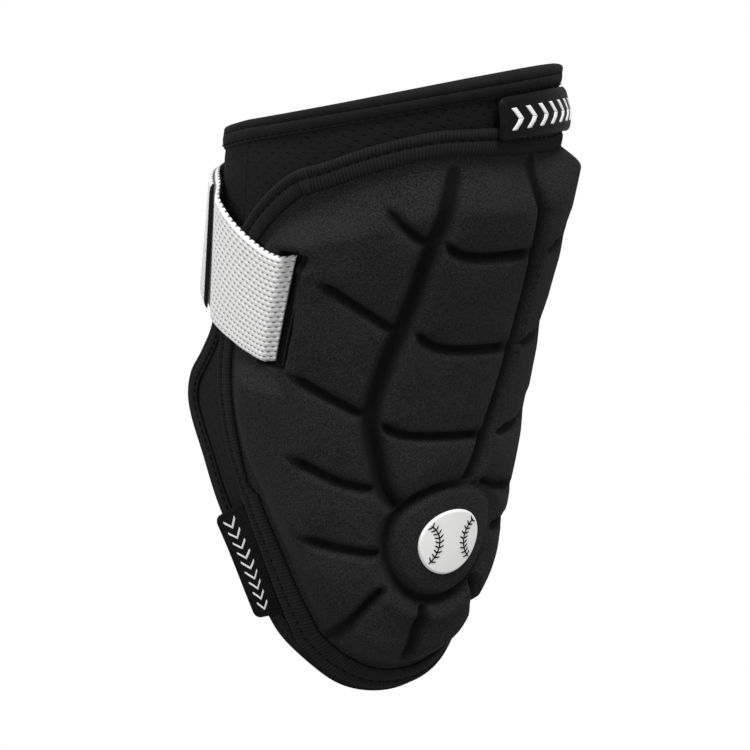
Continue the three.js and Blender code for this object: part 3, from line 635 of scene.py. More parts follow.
def shell_thickness(angle, height):
    """Thickness of the shell in mm at places, and how deep in a groove they lie, 0 to 1."""
    shape = np.shape(angle)
    angle = np.ravel(angle)
    height = np.ravel(height)
    spots = place(angle, height, 0)
    edge = place(*outline, 0)
    from_edge, _ = distance_to(spots, np.concatenate([edge, edge[:1]])[::4])
    share = height / GUARD_HEIGHT
    along_top = ease((share - 0.7) / 0.12) * (1 - ease((np.abs(angle) - 60) / 25))
    along_top = along_top * (1 - 0.8 * ease((angle - 20) / 16))
    corner = ease((angle - 30) / 15) * ease((share - 0.75) / 0.1)
    reach = TAPE_WIDTH - TAPE_OVERHANG + FLANGE_SHOW * np.maximum(along_top, SIDE_SHOW)
    run = SHOULDER_RUN * (1 + TOP_RUN * along_top) * (1 - CORNER_RUN * corner)
    climb = np.clip((from_edge - reach + CORNER_REACH * corner) / run, 0, 1)
    rounding = lerp(1 - (1 - climb) ** 2.2, ease(climb), 0.35 + 0.55 * along_top)
    rise = lerp(LOW_POD_RISE, POD_RISE, ease((share - 0.12) / 0.3))
    rise = rise * (1 - SIDE_THINNING * ease((np.abs(angle) - 50) / 40))

    ring = place(*disc_place(DISC_RADIUS, np.linspace(0, 2 * np.pi, 73)), 0)
    middle = place(DISC_ANGLE, DISC_LEVEL * GUARD_HEIGHT, 0)
    from_middle = np.linalg.norm(spots - middle, axis=-1)
    from_ring, _ = distance_to(spots, ring)
    in_disc = from_middle < np.linalg.norm(ring[0] - middle)
    outside = np.where(in_disc, 0, ease(from_ring / 2.4))
    turn = np.arctan2(height - DISC_LEVEL * GUARD_HEIGHT, angle - DISC_ANGLE)
    sunk = 0.45 + 0.55 * np.clip(np.maximum(np.cos(turn - 2.5), np.cos(turn + 1.9)), -0.2, 1)
    cut = CROSS_SHARE * GROOVE_DEPTH * sunk * notch(from_ring, RING_HALF)
    nearest = from_ring.copy()
    wider = 1 + LOW_WIDENING * (1 - ease((share - 0.12) / 0.06))
    for line, fade, half, least, depth, fall in grooves():
        away, along = distance_to(spots, line)
        length = np.linalg.norm(np.diff(line, axis=0), axis=1).sum()
        start = 1 if fade == "end" else ease(along / FADE_RUN)
        end = 1 if fade == "start" else ease((length - along) / FADE_RUN)
        size = start * end
        section_cut = notch(away, half * lerp(least, 1, size) * wider)
        cut = np.maximum(cut, depth * GROOVE_DEPTH * size**fall * outside * section_cut)
        nearest = np.minimum(nearest, np.where(in_disc, nearest, away + FADE_AWAY * (1 - size)))
    crown = CROWN * (1 - ease(nearest / CROWN_RUN))
    drop = DISC_DROP * (1 - ease(from_middle / DISC_RADIUS - 0.6))
    crest = np.where(in_disc, 0, np.exp(-(((from_ring - CREST_AWAY) / CREST_SPREAD) ** 2)))
    crest = CREST_RISE * crest * np.maximum(np.cos(turn + 1.95), 0)
    pod = FLANGE_WALL + rounding * np.maximum(rise - crown - drop - cut + crest, 0.8)

    left, slit = slot_fall(angle, height)
    pod = pod - pits(spots) * rounding
    seat = seat_wall(angle) - TRENCH_DEPTH * slit
    near_strap = (np.abs(angle) > SLOT_ANGLE - 6) & (np.abs(height - strap_middle(angle)) < 40)
    thickness = np.where(near_strap, np.minimum(pod, lerp(seat, pod, left)), pod)
    # how deep a place lies in a groove, the crease round the disc or the slot's slit; the cloth's
    # colour darkens there as painted shade
    depth = np.clip(cut / GROOVE_DEPTH + slit, 0, 1)
    return thickness.reshape(shape), depth.reshape(shape)


def make_shell():
    columns, rows, step = SHELL_COLUMNS, SHELL_ROWS, INNER_STEP
    band = TAPE_WIDTH - TAPE_OVERHANG + GAP
    angle, height = grid_inside(softened(beside(outline, band), 2), columns, rows)
    thickness, depth = shell_thickness(angle, height)
    ring = len(outline[0])
    flange = SHELL_OFFSET + FLANGE_WALL
    points = [place(*beside(outline, band * share), flange) for share in (0, 0.35, 0.7)]
    points.append(place(angle, height, SHELL_OFFSET + thickness).reshape(-1, 3))
    points.append(place(*outline, SHELL_OFFSET))
    points.append(place(angle[::step, ::step], height[::step, ::step], SHELL_OFFSET).reshape(-1, 3))
    starts = np.concatenate([[0], np.cumsum([len(p) for p in points])])
    rings = [start + np.arange(ring) for start in starts[:3]] + [ring_of(columns, rows, starts[3])]
    under = starts[4] + np.arange(ring)
    coarse = ring_of(columns // step, rows // step, starts[5])
    spans = (np.arange(len(coarse))[:, None] * step + np.arange(step, -1, -1)) % ring
    border = np.concatenate([under[spans], coarse[:, None], np.roll(coarse, -1)[:, None]], axis=1)
    faces = [
        *(join_rings(a, b) for a, b in zip(rings, rings[1:])),
        grid_quads(columns, rows, starts[3]),
        join_rings(under, rings[0]),
        grid_quads(columns // step, rows // step, starts[5])[:, ::-1],
        border,
    ]
    # painted shade: groove and slit depth, kept as an attribute that darkens the cloth's colour
    groove_shade = np.zeros(starts[-1])
    groove_shade[starts[3] : starts[4]] = depth.ravel()
    return new_mesh("shell_pods", np.concatenate(points), faces, attributes={"groove": groove_shade})


def make_slot_lips():
    """The cloth's folded edge inside each slot."""
    paths = []
    rise = np.linspace(-STRAP_WIDTH / 2 - 0.6, STRAP_WIDTH / 2 + 2.2, 60)
    height = STRAP_LEVEL + rise
    bow = np.cos(np.pi * rise / STRAP_WIDTH)
    level = SHELL_OFFSET + SEAT_WALL - 0.4 + 0.4 * bow
    for side in (-1, 1):
        angle = side * (slot_angle(height) - 1.2 + 0.2 * bow)
        paths.append(thread_path(lambda lift: place(angle, height, level + lift)))
    return tubes("slot_lips", paths, LIP_RADIUS, sides=10)


# The sleeve and its hems

SLEEVE_STATIONS = 420
SLEEVE_ROWS = 48
SEAM_HALF = 2.6
SEAM_PITCH = 1.5
LEAST_LEG = 1.6  # the lower hem's outer leg where the shell lies close
HEM_SEAMS = (0.38, 0.86)  # stitched rows, as shares of the hem's leg
HEM_STITCH = (2.2, 0.9)  # length and gap
STITCH_SPOTS = 16  # places along a seam to one stitch and its gap

# Share of the hem's leg and how far its outer face stands up there
FOLD_TOP = [
    (1, -0.9), (0.985, -0.7), (0.9, -0.4), (0.86, -0.65), (0.8, -0.05), (0.55, 0.2),
    (0.42, 0.1), (0.38, -0.3), (0.34, 0.1), (0.15, 0.15),
]

low_line = sleeve_edge(SLEEVE_STATIONS)
high_line = rim_line(low_line)


def make_sleeve():
    inset = HEM_WALL + FOLD_GAP
    low = beside(low_line, HEM_HEIGHT)
    high = beside(high_line, -HEM_HEIGHT)
    share = (np.arange(SLEEVE_ROWS - 1) / (SLEEVE_ROWS - 2))[:, None]
    lean = turn_between(low[0], high[0]) * (1 - (1 - share) ** 2)
    first = beside(low_line, inset)
    last = beside(high_line, -inset)
    angle = np.vstack([first[0], low[0] + lean, last[0]])
    height = np.vstack([first[1], lerp(low[1], high[1], share), last[1]])
    wave = 0.25 * np.sin(height / 9 + np.radians(angle) * 2) * np.sin(np.radians(angle) * 7)
    points = np.stack([place(angle, height, SLEEVE_WALL + wave), place(angle, height, wave)])
    uv = np.stack([girth((angle + 180) % 360 - 180, height), height], axis=-1)
    count = angle.size
    low_ring = np.arange(SLEEVE_STATIONS)
    high_ring = SLEEVE_ROWS * SLEEVE_STATIONS + low_ring
    faces = [
        grid_quads(SLEEVE_STATIONS, SLEEVE_ROWS, wrap=True),
        grid_quads(SLEEVE_STATIONS, SLEEVE_ROWS, count, wrap=True)[:, ::-1],
        join_rings(count + low_ring, low_ring),
        join_rings(high_ring, count + high_ring),
    ]
    return new_mesh("sleeve_mesh", points, faces, np.stack([uv, uv]))


def fold_points(leg):
    """Cloth folded over an edge, with soft corners and a seam pressed into its outer leg."""
    outer = HEM_OFFSET + HEM_WALL
    inner = -FOLD_GAP - HEM_WALL
    middle, half = (outer + inner) / 2, (outer - inner) / 2
    # share of the leg, mm past that, offset
    rows = [(share, 0, outer + lift) for share, lift in FOLD_TOP]
    for bend in np.linspace(0, np.pi, 9):
        rows.append((0, 0.9 * (1 - np.sin(bend)), middle + half * np.cos(bend)))
    rows += [(0.4, 0, inner), (0.95, 0, inner), (1, 0, inner), (1, 0, -FOLD_GAP)]
    rows += [(0, HEM_WALL + 0.3, -FOLD_GAP), (0, HEM_WALL, 0.5), (0, HEM_WALL + 0.3, HEM_OFFSET)]
    rows.append((1, 0, SLEEVE_WALL + 0.25))
    share, past, offset = np.array(rows).T
    across = np.broadcast_to(leg, SLEEVE_STATIONS)[:, None] * share + past
    return np.stack(np.broadcast_arrays(across, offset), axis=-1)


def make_rim_hem():
    return swept("rim_hem_cloth", high_line, fold_points(HEM_HEIGHT)[:, ::-1] * (-1, 1))


def lower_leg():
    edge = place(*outline, 0)
    away, _ = distance_to(place(*low_line, 0), np.concatenate([edge, edge[:1]]))
    return np.clip(away - TAPE_OVERHANG - GAP, LEAST_LEG, HEM_HEIGHT)


def make_lower_hem():
    return swept("lower_hem_cloth", low_line, fold_points(lower_leg()))


def stitch_paths(line, offset, length, gap, keep=lambda angle: True):
    """Short threads along a line of places, each one bowed into the cloth at its ends."""
    count = int(line_length(line) // (length + gap))
    fine = evenly(line, count * STITCH_SPOTS)
    spots = place(*fine, offset)
    outward = place(*fine, offset + 1) - spots
    bow = np.array([-0.35, 0.05, 0.2, 0.05, -0.35])[:, None]
    at = np.linspace(0, STITCH_SPOTS * length / (length + gap), 5).astype(int)
    paths = []
    for n in range(count):
        here = n * STITCH_SPOTS + at
        if keep(fine[0][here[2]]):
            paths.append((spots[here] + outward[here] * bow, outward[here]))
    return paths


def make_hem_stitches():
    level = HEM_OFFSET + HEM_WALL - 0.2
    paths = []
    for share in HEM_SEAMS:
        paths += stitch_paths(beside(high_line, -share * HEM_HEIGHT), level, *HEM_STITCH)
    for share in HEM_SEAMS:
        line = beside(low_line, share * lower_leg())
        paths += stitch_paths(line, level, *HEM_STITCH, keep=lambda angle: abs(angle) > 60)
    return tubes("hem_stitches", paths, 0.2)


def make_back_seam():
    """The flat seam that closes the sleeve behind the arm, outside and inside."""
    low = low_line[1][0] + HEM_HEIGHT - 1
    high = rim_height(180) - HEM_HEIGHT + 1
    up = np.linspace(0, 1, 241)[:, None]
    across = np.linspace(-1, 1, 17)[None]
    height = lerp(low, high, up) + 0 * across
    rib = 0.5 + 0.5 * np.cos(2 * np.pi * up * (high - low) / SEAM_PITCH)
    round_off = 1 - across**8
    rows = 0.25 * np.cos(across * np.pi * 3) + 0.12 * rib
    angle = 180 + across * SEAM_HALF / np.linalg.norm(arm_slopes(180.0, (low + high) / 2)[0])
    parts = []
    for level, way in ((SLEEVE_WALL + 0.1, 1), (-0.1, -1)):
        face = place(angle, height, level + way * round_off * (0.45 + rows))
        back = place(angle, height, level - way * 0.4)
        parts.append((face, back) if way > 0 else (back, face))
    return joined("sleeve_back_seam", parts)


# The tape round the shell

RIB_PITCH = 1.2
RIB_STATIONS = 6  # stations to a rib
RIB_RISE = 0.18
LOW_RIBS = 0.4  # how much of their height the ribs keep below the strap
TAPE_SEAM = 1.8  # stitched row between the tape's two ribbed rows, in from the shell's edge
LAP_ANGLE = -62  # where the tape's ends lap
LAP_WIDTH = 3.2
LAP_RISE = 0.8
TAPE_STITCH = (1.1, 2.2)

TAPE_PROFILE = np.array([
    # left, lift, share of the rib's height, share of its scallop
    (6.9, -0.6, 0, 0.4),
    (6.9, 0.35, 0.5, 1),
    (6.3, 0.8, 1, 0.3),
    (4.8, 0.95, 1, 0),
    (3.2, 0.9, 1, 0),
    (2.4, 0.6, 0.5, 0),
    (TAPE_SEAM, 0.15, -0.6, 0),
    (1.2, 0.6, 0.5, 0),
    (0.5, 0.9, 1, 0),
    (-0.6, 0.85, 1, 0),
    (-1.3, 0.45, 0.6, -0.4),
    (-1.6, -0.5, 0, -0.6),
    (-1.5, -1.6, 0, 0),
    (-0.3, -1.65, 0, 0),
    (-0.3, -0.1, 0, 0),
])


def make_tape():
    count = int(round(line_length(outline) / RIB_PITCH)) * RIB_STATIONS
    line = evenly(outline, count)
    rib = 0.5 + 0.5 * np.cos(2 * np.pi * np.arange(count) / RIB_STATIONS)
    spots = place(*line, 0)
    lap_at = np.argmin(np.abs(line[0] - LAP_ANGLE) + 10 * (line[1] < STRAP_LEVEL + 20))
    from_lap = np.linalg.norm(spots - spots[lap_at], axis=1)
    lap = 1 - ease((from_lap - LAP_WIDTH / 2) / 0.6)[:, None]
    high = lerp(LOW_RIBS, 1, ease((line[1] - STRAP_LEVEL) / 20))[:, None]
    left, lift, ribbed, scalloped = TAPE_PROFILE.T
    rise = rib[:, None] * ribbed * RIB_RISE * high * (1 - lap) + lap * LAP_RISE * (lift > 0)
    across = left + 0.3 * scalloped * (rib[:, None] - 0.5)
    points = np.stack([across, TAPE_OFFSET + lift + rise], axis=-1)
    # painted highlight on each rib's crest, kept for the tape's colour
    rib_highlight = np.repeat(rib, len(TAPE_PROFILE))
    return swept("shell_tape_ribs", line, points, {"rib": rib_highlight})


def make_tape_stitches():
    """Dark lockstitches sunk in the seam between the tape's two ribbed rows."""
    paths = stitch_paths(beside(outline, TAPE_SEAM), TAPE_OFFSET + 0.3, *TAPE_STITCH)
    return tubes("tape_stitches", paths, 0.28)


# The strap

STITCH_PITCH = 2
KNIT_ROWS = 21
ROW_POINTS = 5
STITCH_POINTS = 4
KNIT_RISE = 0.5
STRAP_DIP = 3.2  # how far the strap's ends go down into their slots
DIP_RUN = 4.5
SLOT_CLEAR = 1.6  # past the slot's margin, to the strap's end
TAB_TAPE_SHOW = 0.55  # share of the tab tape's width that stands free of the knit


def strap_point(angle, up, offset):
    base = strap_offset(angle) + offset
    low = place(angle, strap_middle(angle) - strap_half(angle), base)
    high = place(angle, strap_middle(angle) + strap_half(angle), base)
    return lerp(low, high, up[..., None])


def knit(along, row):
    """Height of the knit, 0 to 1, and how open it is, at stitches along and rows across; the
    openness is painted as shade in the pinholes.
    """
    across = row - np.floor(row)
    ridge = np.sin(np.pi * across) ** 0.7
    lean = np.where(across < 0.5, across, 1 - across)
    stitch = 0.5 + 0.5 * np.cos(2 * np.pi * (along + lean + 0.5 * np.floor(row)))
    height = ridge * (0.55 + 0.45 * stitch)
    pinhole_shade = (1 - ridge) * (1 - stitch) ** 2
    return height, pinhole_shade


def even_angles(start, end, step):
    """Angles from start to end along the strap, evenly spaced, and the length in mm."""
    fine = np.linspace(start, end, 2000)
    steps = np.linalg.norm(np.diff(place(fine, strap_middle(fine), 8), axis=0), axis=1)
    reach = np.concatenate([[0], np.cumsum(steps)])
    at = np.linspace(0, reach[-1], int(reach[-1] / step) + 1)
    return np.interp(at, reach, fine), reach[-1]


def knit_band(name, start, end, width_at, offset, wall, dip):
    """A band of knit elastic round the arm from one angle to another."""
    angle, length = even_angles(start, end, STITCH_PITCH / STITCH_POINTS)
    turned = ((angle + 180) % 360 - 180)[None]
    columns = len(angle) - 1
    rows = KNIT_ROWS * ROW_POINTS
    station = np.arange(columns + 1)
    row = np.linspace(0, KNIT_ROWS, rows + 1)[:, None] * np.ones(columns + 1)
    along = station[None] / STITCH_POINTS * np.ones((rows + 1, 1))
    height, pinhole_shade = knit(along, np.minimum(row, KNIT_ROWS - 1e-6))
    height[[0, -1]] = 0
    edge = np.minimum(row, KNIT_ROWS - row)
    selvedge = 0.5 + 0.5 * np.cos(2 * np.pi * along)
    out = np.where(row < KNIT_ROWS / 2, -1, 1) * (1 - ease(edge / 0.8))
    up = 0.5 + (row / KNIT_ROWS - 0.5) * width_at(turned) + out * selvedge * 0.006
    from_end = np.minimum(station, station[::-1]) * length / columns
    sunk = dip * (1 - ease(from_end / DIP_RUN))
    thin = 0.5 * (1 - ease(edge / 0.7)) * wall
    lean = SLOT_LEAN * up * (1 - ease((np.abs(turned) - SLOT_ANGLE) / 40)) * (dip > 0)
    angles = turned - np.sign(turned) * lean
    outer = strap_point(angles, up, offset + wall - KNIT_RISE + KNIT_RISE * height - thin - sunk)
    inner = strap_point(angles, up, offset - sunk)
    return slab(name, outer, inner, np.stack([along, row], axis=-1), {"pinhole_shade": pinhole_shade})


def per_degree(angle):
    return np.linalg.norm(arm_slopes(angle, STRAP_LEVEL)[0])


def make_strap():
    start = SLOT_ANGLE + (SLOT_MARGIN + SLOT_CLEAR) / per_degree(SLOT_ANGLE)
    return knit_band("strap_knit", start, 360 - start, np.ones_like, 0, STRAP_WALL, STRAP_DIP)


def tab_share(angle):
    return TAB_WIDTH / (2 * strap_half(angle))


def make_tab():
    end = -TAB_ANGLE - GAP / per_degree(TAB_ANGLE)
    return knit_band(
        "strap_tab_knit", -TAB_ANGLE - TAB_SPAN, end, tab_share, STRAP_WALL + 2 * GAP, TAB_WALL, 0
    )


def make_tab_tape():
    """Folded tape bound over the strap's cut end."""
    columns, rows = 12, 60
    end = -TAB_ANGLE + TAB_TAPE_SHOW * TAB_TAPE_WIDTH / per_degree(TAB_ANGLE)
    across = np.linspace(0, 1, columns + 1)[None]
    up = np.linspace(0, 1, rows + 1)[:, None]
    angle = lerp(-TAB_ANGLE, end, across) * np.ones_like(up)
    share = 0.5 + (up - 0.5) * tab_share(angle)
    round_off = 1 - (2 * across - 1) ** 4
    ends = 1 - np.abs(2 * up - 1) ** 24
    base = STRAP_WALL + 2 * GAP
    outer = strap_point(angle, share, base + TAB_WALL * (0.35 + 0.65 * round_off * ends))
    inner = strap_point(angle, share, base * np.ones_like(angle))
    return slab("strap_tab_edge", outer, inner)


# Labels

PATCH_CORNER = 2.4
TAG_CORNER = 2.2
PATCH_MARKS = 7  # chevrons on the patch, and from one to the next
PATCH_MARK_STEP = 6.2
TAG_MARKS = 9
TAG_MARK_STEP = 3.9
TAG_SPOTS = 4000  # places along the shell's edge that the tag's are taken from
SEAM_REACH = 8.2  # radius of a ball's seam
SEAM_MIDDLE = 12.6  # from the badge's middle to that of its arc

patch_degree = np.linalg.norm(arm_slopes(PATCH_ANGLE + PATCH_SPAN / 2, GUARD_HEIGHT - 12)[0])


def on_patch(x, y, lift):
    """A point of the patch: mm from its near end, mm above its middle, mm out from its face."""
    x, y, lift = np.broadcast_arrays(*(np.asarray(v, float) for v in (x, y, lift)))
    angle = PATCH_ANGLE + x / patch_degree
    height = rim_height(angle) - PATCH_DROP - PATCH_HEIGHT / 2 + y
    up = np.clip(y / PATCH_HEIGHT + 0.5, 0, 1)
    lean = np.clip((up - PATCH_STAND) / (1 - PATCH_STAND), 0, 1)
    return place(angle, height, lerp(OVER_TAPE + 2 * GAP, OVER_HEM, lean) + lift)


def make_patch():
    """A plate with rounded corners, a bevelled edge and a raised rim."""
    columns, rows = (0.5 - 0.5 * np.cos(np.pi * np.linspace(0, 1, n + 1)) for n in (120, 40))
    v = (rows[:, None] - 0.5) * PATCH_HEIGHT
    over = np.maximum(np.abs(v) - (PATCH_HEIGHT / 2 - PATCH_CORNER), 0)
    length = PATCH_SPAN * patch_degree
    half = length / 2 - PATCH_CORNER + np.sqrt(np.maximum(PATCH_CORNER**2 - over**2, 0))
    u = (2 * columns[None] - 1) * half
    from_edge = np.minimum(half - np.abs(u), PATCH_HEIGHT / 2 - np.abs(v))
    bevel = 1 - (1 - np.clip(from_edge / 1.1, 0, 1)) ** 2
    rim = 0.18 * (ease((from_edge - 0.9) / 0.3) - ease((from_edge - 1.9) / 0.4))
    outer = on_patch(u + length / 2, v, PATCH_WALL * (0.3 + 0.7 * bevel) + rim)
    inner = on_patch(u + length / 2, v, 0)
    return slab("cuff_patch_rubber", outer, inner)


def make_patch_marks():
    """A plain row of chevrons."""
    parts = []
    half = np.linspace(-1, 1, 5)[None]
    lift = PATCH_WALL + 0.42 - 0.12 * np.abs(half) ** 3
    for n in range(PATCH_MARKS):
        for up in (-1, 1):
            share = np.linspace(0, 1, 9)[:, None]
            tip = share if up < 0 else 1 - share
            x = 5.2 + PATCH_MARK_STEP * n + 2.6 * tip + half
            y = up * 3.4 * (1 - tip) + 0 * half
            parts.append((on_patch(x, y, lift), on_patch(x, y, PATCH_WALL - 0.1)))
    return joined("cuff_patch_marks", parts)


def tag_points(across, up, lift):
    """A point of the tag: share from its free end, share up its length, mm out from its face."""
    across, up, lift = np.broadcast_arrays(*(np.asarray(v, float) for v in (across, up, lift)))
    angle, height = evenly(outline, TAG_SPOTS)
    step = line_length(outline) / TAG_SPOTS
    middle = int(np.argmin(np.where(angle < 0, np.abs(height - TAG_LEVEL), np.inf)))
    length = TAG_LENGTH - TAG_SLANT * (1 - across)
    n = (middle - np.round((up * length - TAG_LENGTH / 2) / step).astype(int)) % TAG_SPOTS
    out = TAPE_OVERHANG + 2 * GAP + TAG_WIDTH * (1 - across)
    beyond = beside((angle, height), -1.0)
    turn, climb = beyond[0] - angle, beyond[1] - height
    level = OVER_HEM + 0.4 + 0.8 * (1 - across) ** 2 + lift
    return place(angle[n] + turn[n] * out, height[n] + climb[n] * out, level)


def make_tag():
    across = np.linspace(0, 1, 41)[None] * np.ones((97, 1))
    up = (0.5 - 0.5 * np.cos(np.pi * np.linspace(0, 1, 97)))[:, None]
    over = np.maximum(np.abs(up - 0.5) * TAG_LENGTH - TAG_LENGTH / 2 + TAG_CORNER, 0)
    corner = TAG_CORNER - np.sqrt(TAG_CORNER**2 - over**2)
    from_end = (0.5 - np.abs(up - 0.5)) * TAG_LENGTH
    from_edge = np.minimum(across * (TAG_WIDTH - corner), from_end)
    across = lerp(corner / TAG_WIDTH, 1, across)
    round_off = 0.5 + 0.5 * ease(from_edge / 0.8)
    groove = 0.2 * np.exp(-(((from_edge - 1.8) / 0.25) ** 2))
    outer = tag_points(across, up, TAG_WALL * round_off - groove)
    inner = tag_points(across, up, 0)
    uv = np.stack(np.broadcast_arrays(across * TAG_WIDTH, up * TAG_LENGTH), axis=-1)
    return slab("side_tag_woven", outer, inner, uv)


def make_tag_marks():
    """A row of stitched chevrons down the tag."""
    parts = []
    share = np.linspace(0, 1, 7)[:, None]
    width = np.linspace(-0.45, 0.45, 5)[None]
    lift = TAG_WALL + 0.22 - 0.12 * (np.abs(width) / 0.45) ** 2
    for n in range(TAG_MARKS):
        for side in (-1, 1):
            across = 0.46 - 2.6 * side * (1 - share) / TAG_WIDTH
            middle = (n - (TAG_MARKS - 1) / 2) * TAG_MARK_STEP
            up = 0.5 + (middle + lerp(1.3, -1.3, share) + width) / TAG_LENGTH
            outer = tag_points(across, up, lift)[::-1, ::side]
            inner = tag_points(across, up, TAG_WALL - 0.15)[::-1, ::side]
            parts.append((outer, inner))
    return joined("side_tag_marks", parts)


def badge_point(right, above, lift):
    """A point on the badge, in mm from its middle."""
    angle, height = disc_place(np.hypot(right, above), np.arctan2(above, right))
    thickness, _ = shell_thickness(angle, height)
    return place(angle, height, SHELL_OFFSET + thickness + lift)


def make_badge():
    side = np.linspace(-1, 1, 61)
    x, y = side[None], side[:, None]
    right = x * np.sqrt(1 - y**2 / 2) * BADGE_RADIUS
    above = y * np.sqrt(1 - x**2 / 2) * BADGE_RADIUS
    from_edge = BADGE_RADIUS - np.hypot(right, above)
    lift = 0.12 + (BADGE_WALL + 0.1) * (1 - (1 - np.clip(from_edge / 0.7, 0, 1)) ** 2)
    outer = badge_point(right, above, lift)
    return slab("ball_badge_print", outer, badge_point(right, above, -0.1))


def thread_path(at):
    """A thread's points and the way out from each, from what gives them at a lift in mm."""
    return at(0), at(1) - at(0)


def seam_point(side, turn, reach):
    """A point on a ball's seam, in mm from the badge's middle: to the right and above."""
    return side * (SEAM_MIDDLE - reach * np.cos(turn)), reach * np.sin(turn)


def make_badge_seams():
    """Two curved seams with their stitches, as on any baseball."""
    level = BADGE_WALL + 0.24
    share = np.linspace(0, 1, 4)
    threads = []
    for side in (-1, 1):
        right, above = seam_point(side, np.radians(np.linspace(-58, 58, 40)), SEAM_REACH)
        inside = np.hypot(right, above) < BADGE_RADIUS - 0.7
        threads.append((right[inside], above[inside]))
        for at in np.radians(np.linspace(-46, 46, 9)):
            for way in (-1, 1):
                thread = seam_point(side, at + 0.11 * share, SEAM_REACH + way * 1.5 * share)
                if np.hypot(*thread).max() <= BADGE_RADIUS - 0.6:
                    threads.append(thread)
    paths = [thread_path(lambda lift: badge_point(*spots, level + lift)) for spots in threads]
    return tubes("ball_badge_seams", paths, 0.26, sides=8)


# Materials

MESH_ROW = 2.9
MESH_COLUMN = 4.2
MESH_SLANT = 0.42


class Nodes:
    """A material's node tree, with short ways to add to it."""

    def __init__(self, name):
        self.material = bpy.data.materials.new(name)
        self.material.use_nodes = True
        self.tree = self.material.node_tree

    def add(self, kind, inputs, **settings):
        """A node with its settings, and its inputs as plain values or links."""
        node = self.tree.nodes.new(kind)
        for key, value in settings.items():
            setattr(node, key, value)
        self.fill(node, inputs)
        return node.outputs

    def fill(self, node, inputs):
        for key, value in inputs.items():
            if isinstance(value, bpy.types.NodeSocket):
                self.tree.links.new(value, node.inputs[key])
            elif isinstance(value, tuple):
                node.inputs[key].default_value = (*value, 1)
            else:
                node.inputs[key].default_value = value

    def math(self, operation, a, b=0.0):
        return self.add("ShaderNodeMath", {0: a, 1: b}, operation=operation)[0]

    def total(self, *parts):
        """The sum of values, each one after its weight."""
        weighted = [self.math("MULTIPLY", value, weight) for weight, value in parts]
        return self.math("ADD", *weighted)

    def ease(self, value, low, high):
        inputs = {"Value": value, "From Min": low, "From Max": high}
        return self.add("ShaderNodeMapRange", inputs, interpolation_type="SMOOTHSTEP")["Result"]

    def grain(self, kind, size_mm, **inputs):
        inputs["Vector"] = self.add("ShaderNodeTexCoord", {})["Object"]
        inputs["Scale"] = 1 / (size_mm * MM)
        return self.add(kind, inputs)

    def noise(self, size_mm, detail=2.0, roughness=0.5):
        return self.grain("ShaderNodeTexNoise", size_mm, Detail=detail, Roughness=roughness)["Fac"]

    def cells(self, size_mm):
        return self.grain("ShaderNodeTexVoronoi", size_mm)["Distance"]

    def attribute(self, name):
        return self.add("ShaderNodeAttribute", {}, attribute_name=name)["Fac"]

    def uv(self):
        spot = self.add("ShaderNodeUVMap", {}, uv_map="UVMap")[0]
        return self.add("ShaderNodeSeparateXYZ", {0: spot})[:2]

    def blend(self, share, dark, light):
        inputs = {"Factor": share, 6: dark, 7: light}
        return self.add("ShaderNodeMix", inputs, data_type="RGBA")[2]

    def bump(self, height, depth_mm, **below):
        inputs = {"Height": height, "Distance": depth_mm * MM, **below}
        return self.add("ShaderNodeBump", inputs)["Normal"]

    def surface(self, colour, grain, rough, gloss, normal, sheen=(0.0, 0.5)):
        """Fill in the shader, with its roughness between two values by the grain."""
        spread = {"Value": grain, "To Min": rough[0], "To Max": rough[1]}
        self.fill(self.tree.nodes["Principled BSDF"], {
            "Base Color": colour,
            "Roughness": self.add("ShaderNodeMapRange", spread)["Result"],
            "Specular IOR Level": gloss,
            "Normal": normal,
            "Sheen Weight": sheen[0],
            "Sheen Roughness": sheen[1],
        })
        return self.material


def grey(value):
    return (value, value, value * 1.04)


def pod_cloth():
    """Pebbled jersey bonded to foam, rubbed lighter in broad random patches, with painted shade
    that darkens it in the grooves and in the slit beside each slot.
    """
    m = Nodes("pod_cloth")
    grain = m.total((0.8, m.noise(0.4, 2, 0.6)), (0.22, m.cells(0.6)))
    rubbed = m.total((0.98, grain), (0.12, m.noise(14, 3)))
    cloth = m.blend(m.ease(rubbed, 0.38, 0.72), grey(0.0065), grey(0.03))
    # painted shade: near black down in the grooves, the crease round the disc and the slit beside
    # each slot
    colour = m.blend(m.ease(m.attribute("groove"), 0.15, 0.75), cloth, grey(0.006))
    relief = m.bump(grain, 0.4, Normal=m.bump(m.noise(0.35, 2), 0.1))
    return m.surface(colour, grain, (0.8, 0.95), 0.07, relief, (0.012, 0.5))


def mesh_cloth():
    """Stretch mesh with rows of small slanted openings, with painted shade that darkens them."""
    m = Nodes("mesh_cloth")
    across, up = m.uv()
    row = m.total((1 / MESH_ROW, up), (MESH_SLANT / MESH_ROW, across))
    odd = m.math("MODULO", m.math("ABSOLUTE", m.math("FLOOR", row)), 2.0)
    column = m.total((1 / MESH_COLUMN, across), (0.5, odd))
    x = m.math("MULTIPLY", m.math("SUBTRACT", m.math("FRACT", column), 0.5), MESH_COLUMN)
    y = m.math("MULTIPLY", m.math("SUBTRACT", m.math("FRACT", row), 0.5), MESH_ROW)
    far = m.math("MAXIMUM", m.math("SUBTRACT", m.math("ABSOLUTE", x), 0.6), 0.0)
    away = m.math("SQRT", m.total((far, far), (y, y)))
    opening = m.math("SUBTRACT", 1.0, m.ease(away, 0.08, 0.36))
    fibre = m.noise(0.3, 2)
    cloth = m.blend(m.ease(fibre, 0.3, 0.8), grey(0.0105), grey(0.0165))
    # painted shade: the openings are darker than the cloth round them
    colour = m.blend(opening, cloth, grey(0.0055))
    relief = m.total((0.25, fibre), (-1.0, opening))
    return m.surface(colour, fibre, (0.82, 0.97), 0.06, m.bump(relief, 0.2), (0.01, 0.5))


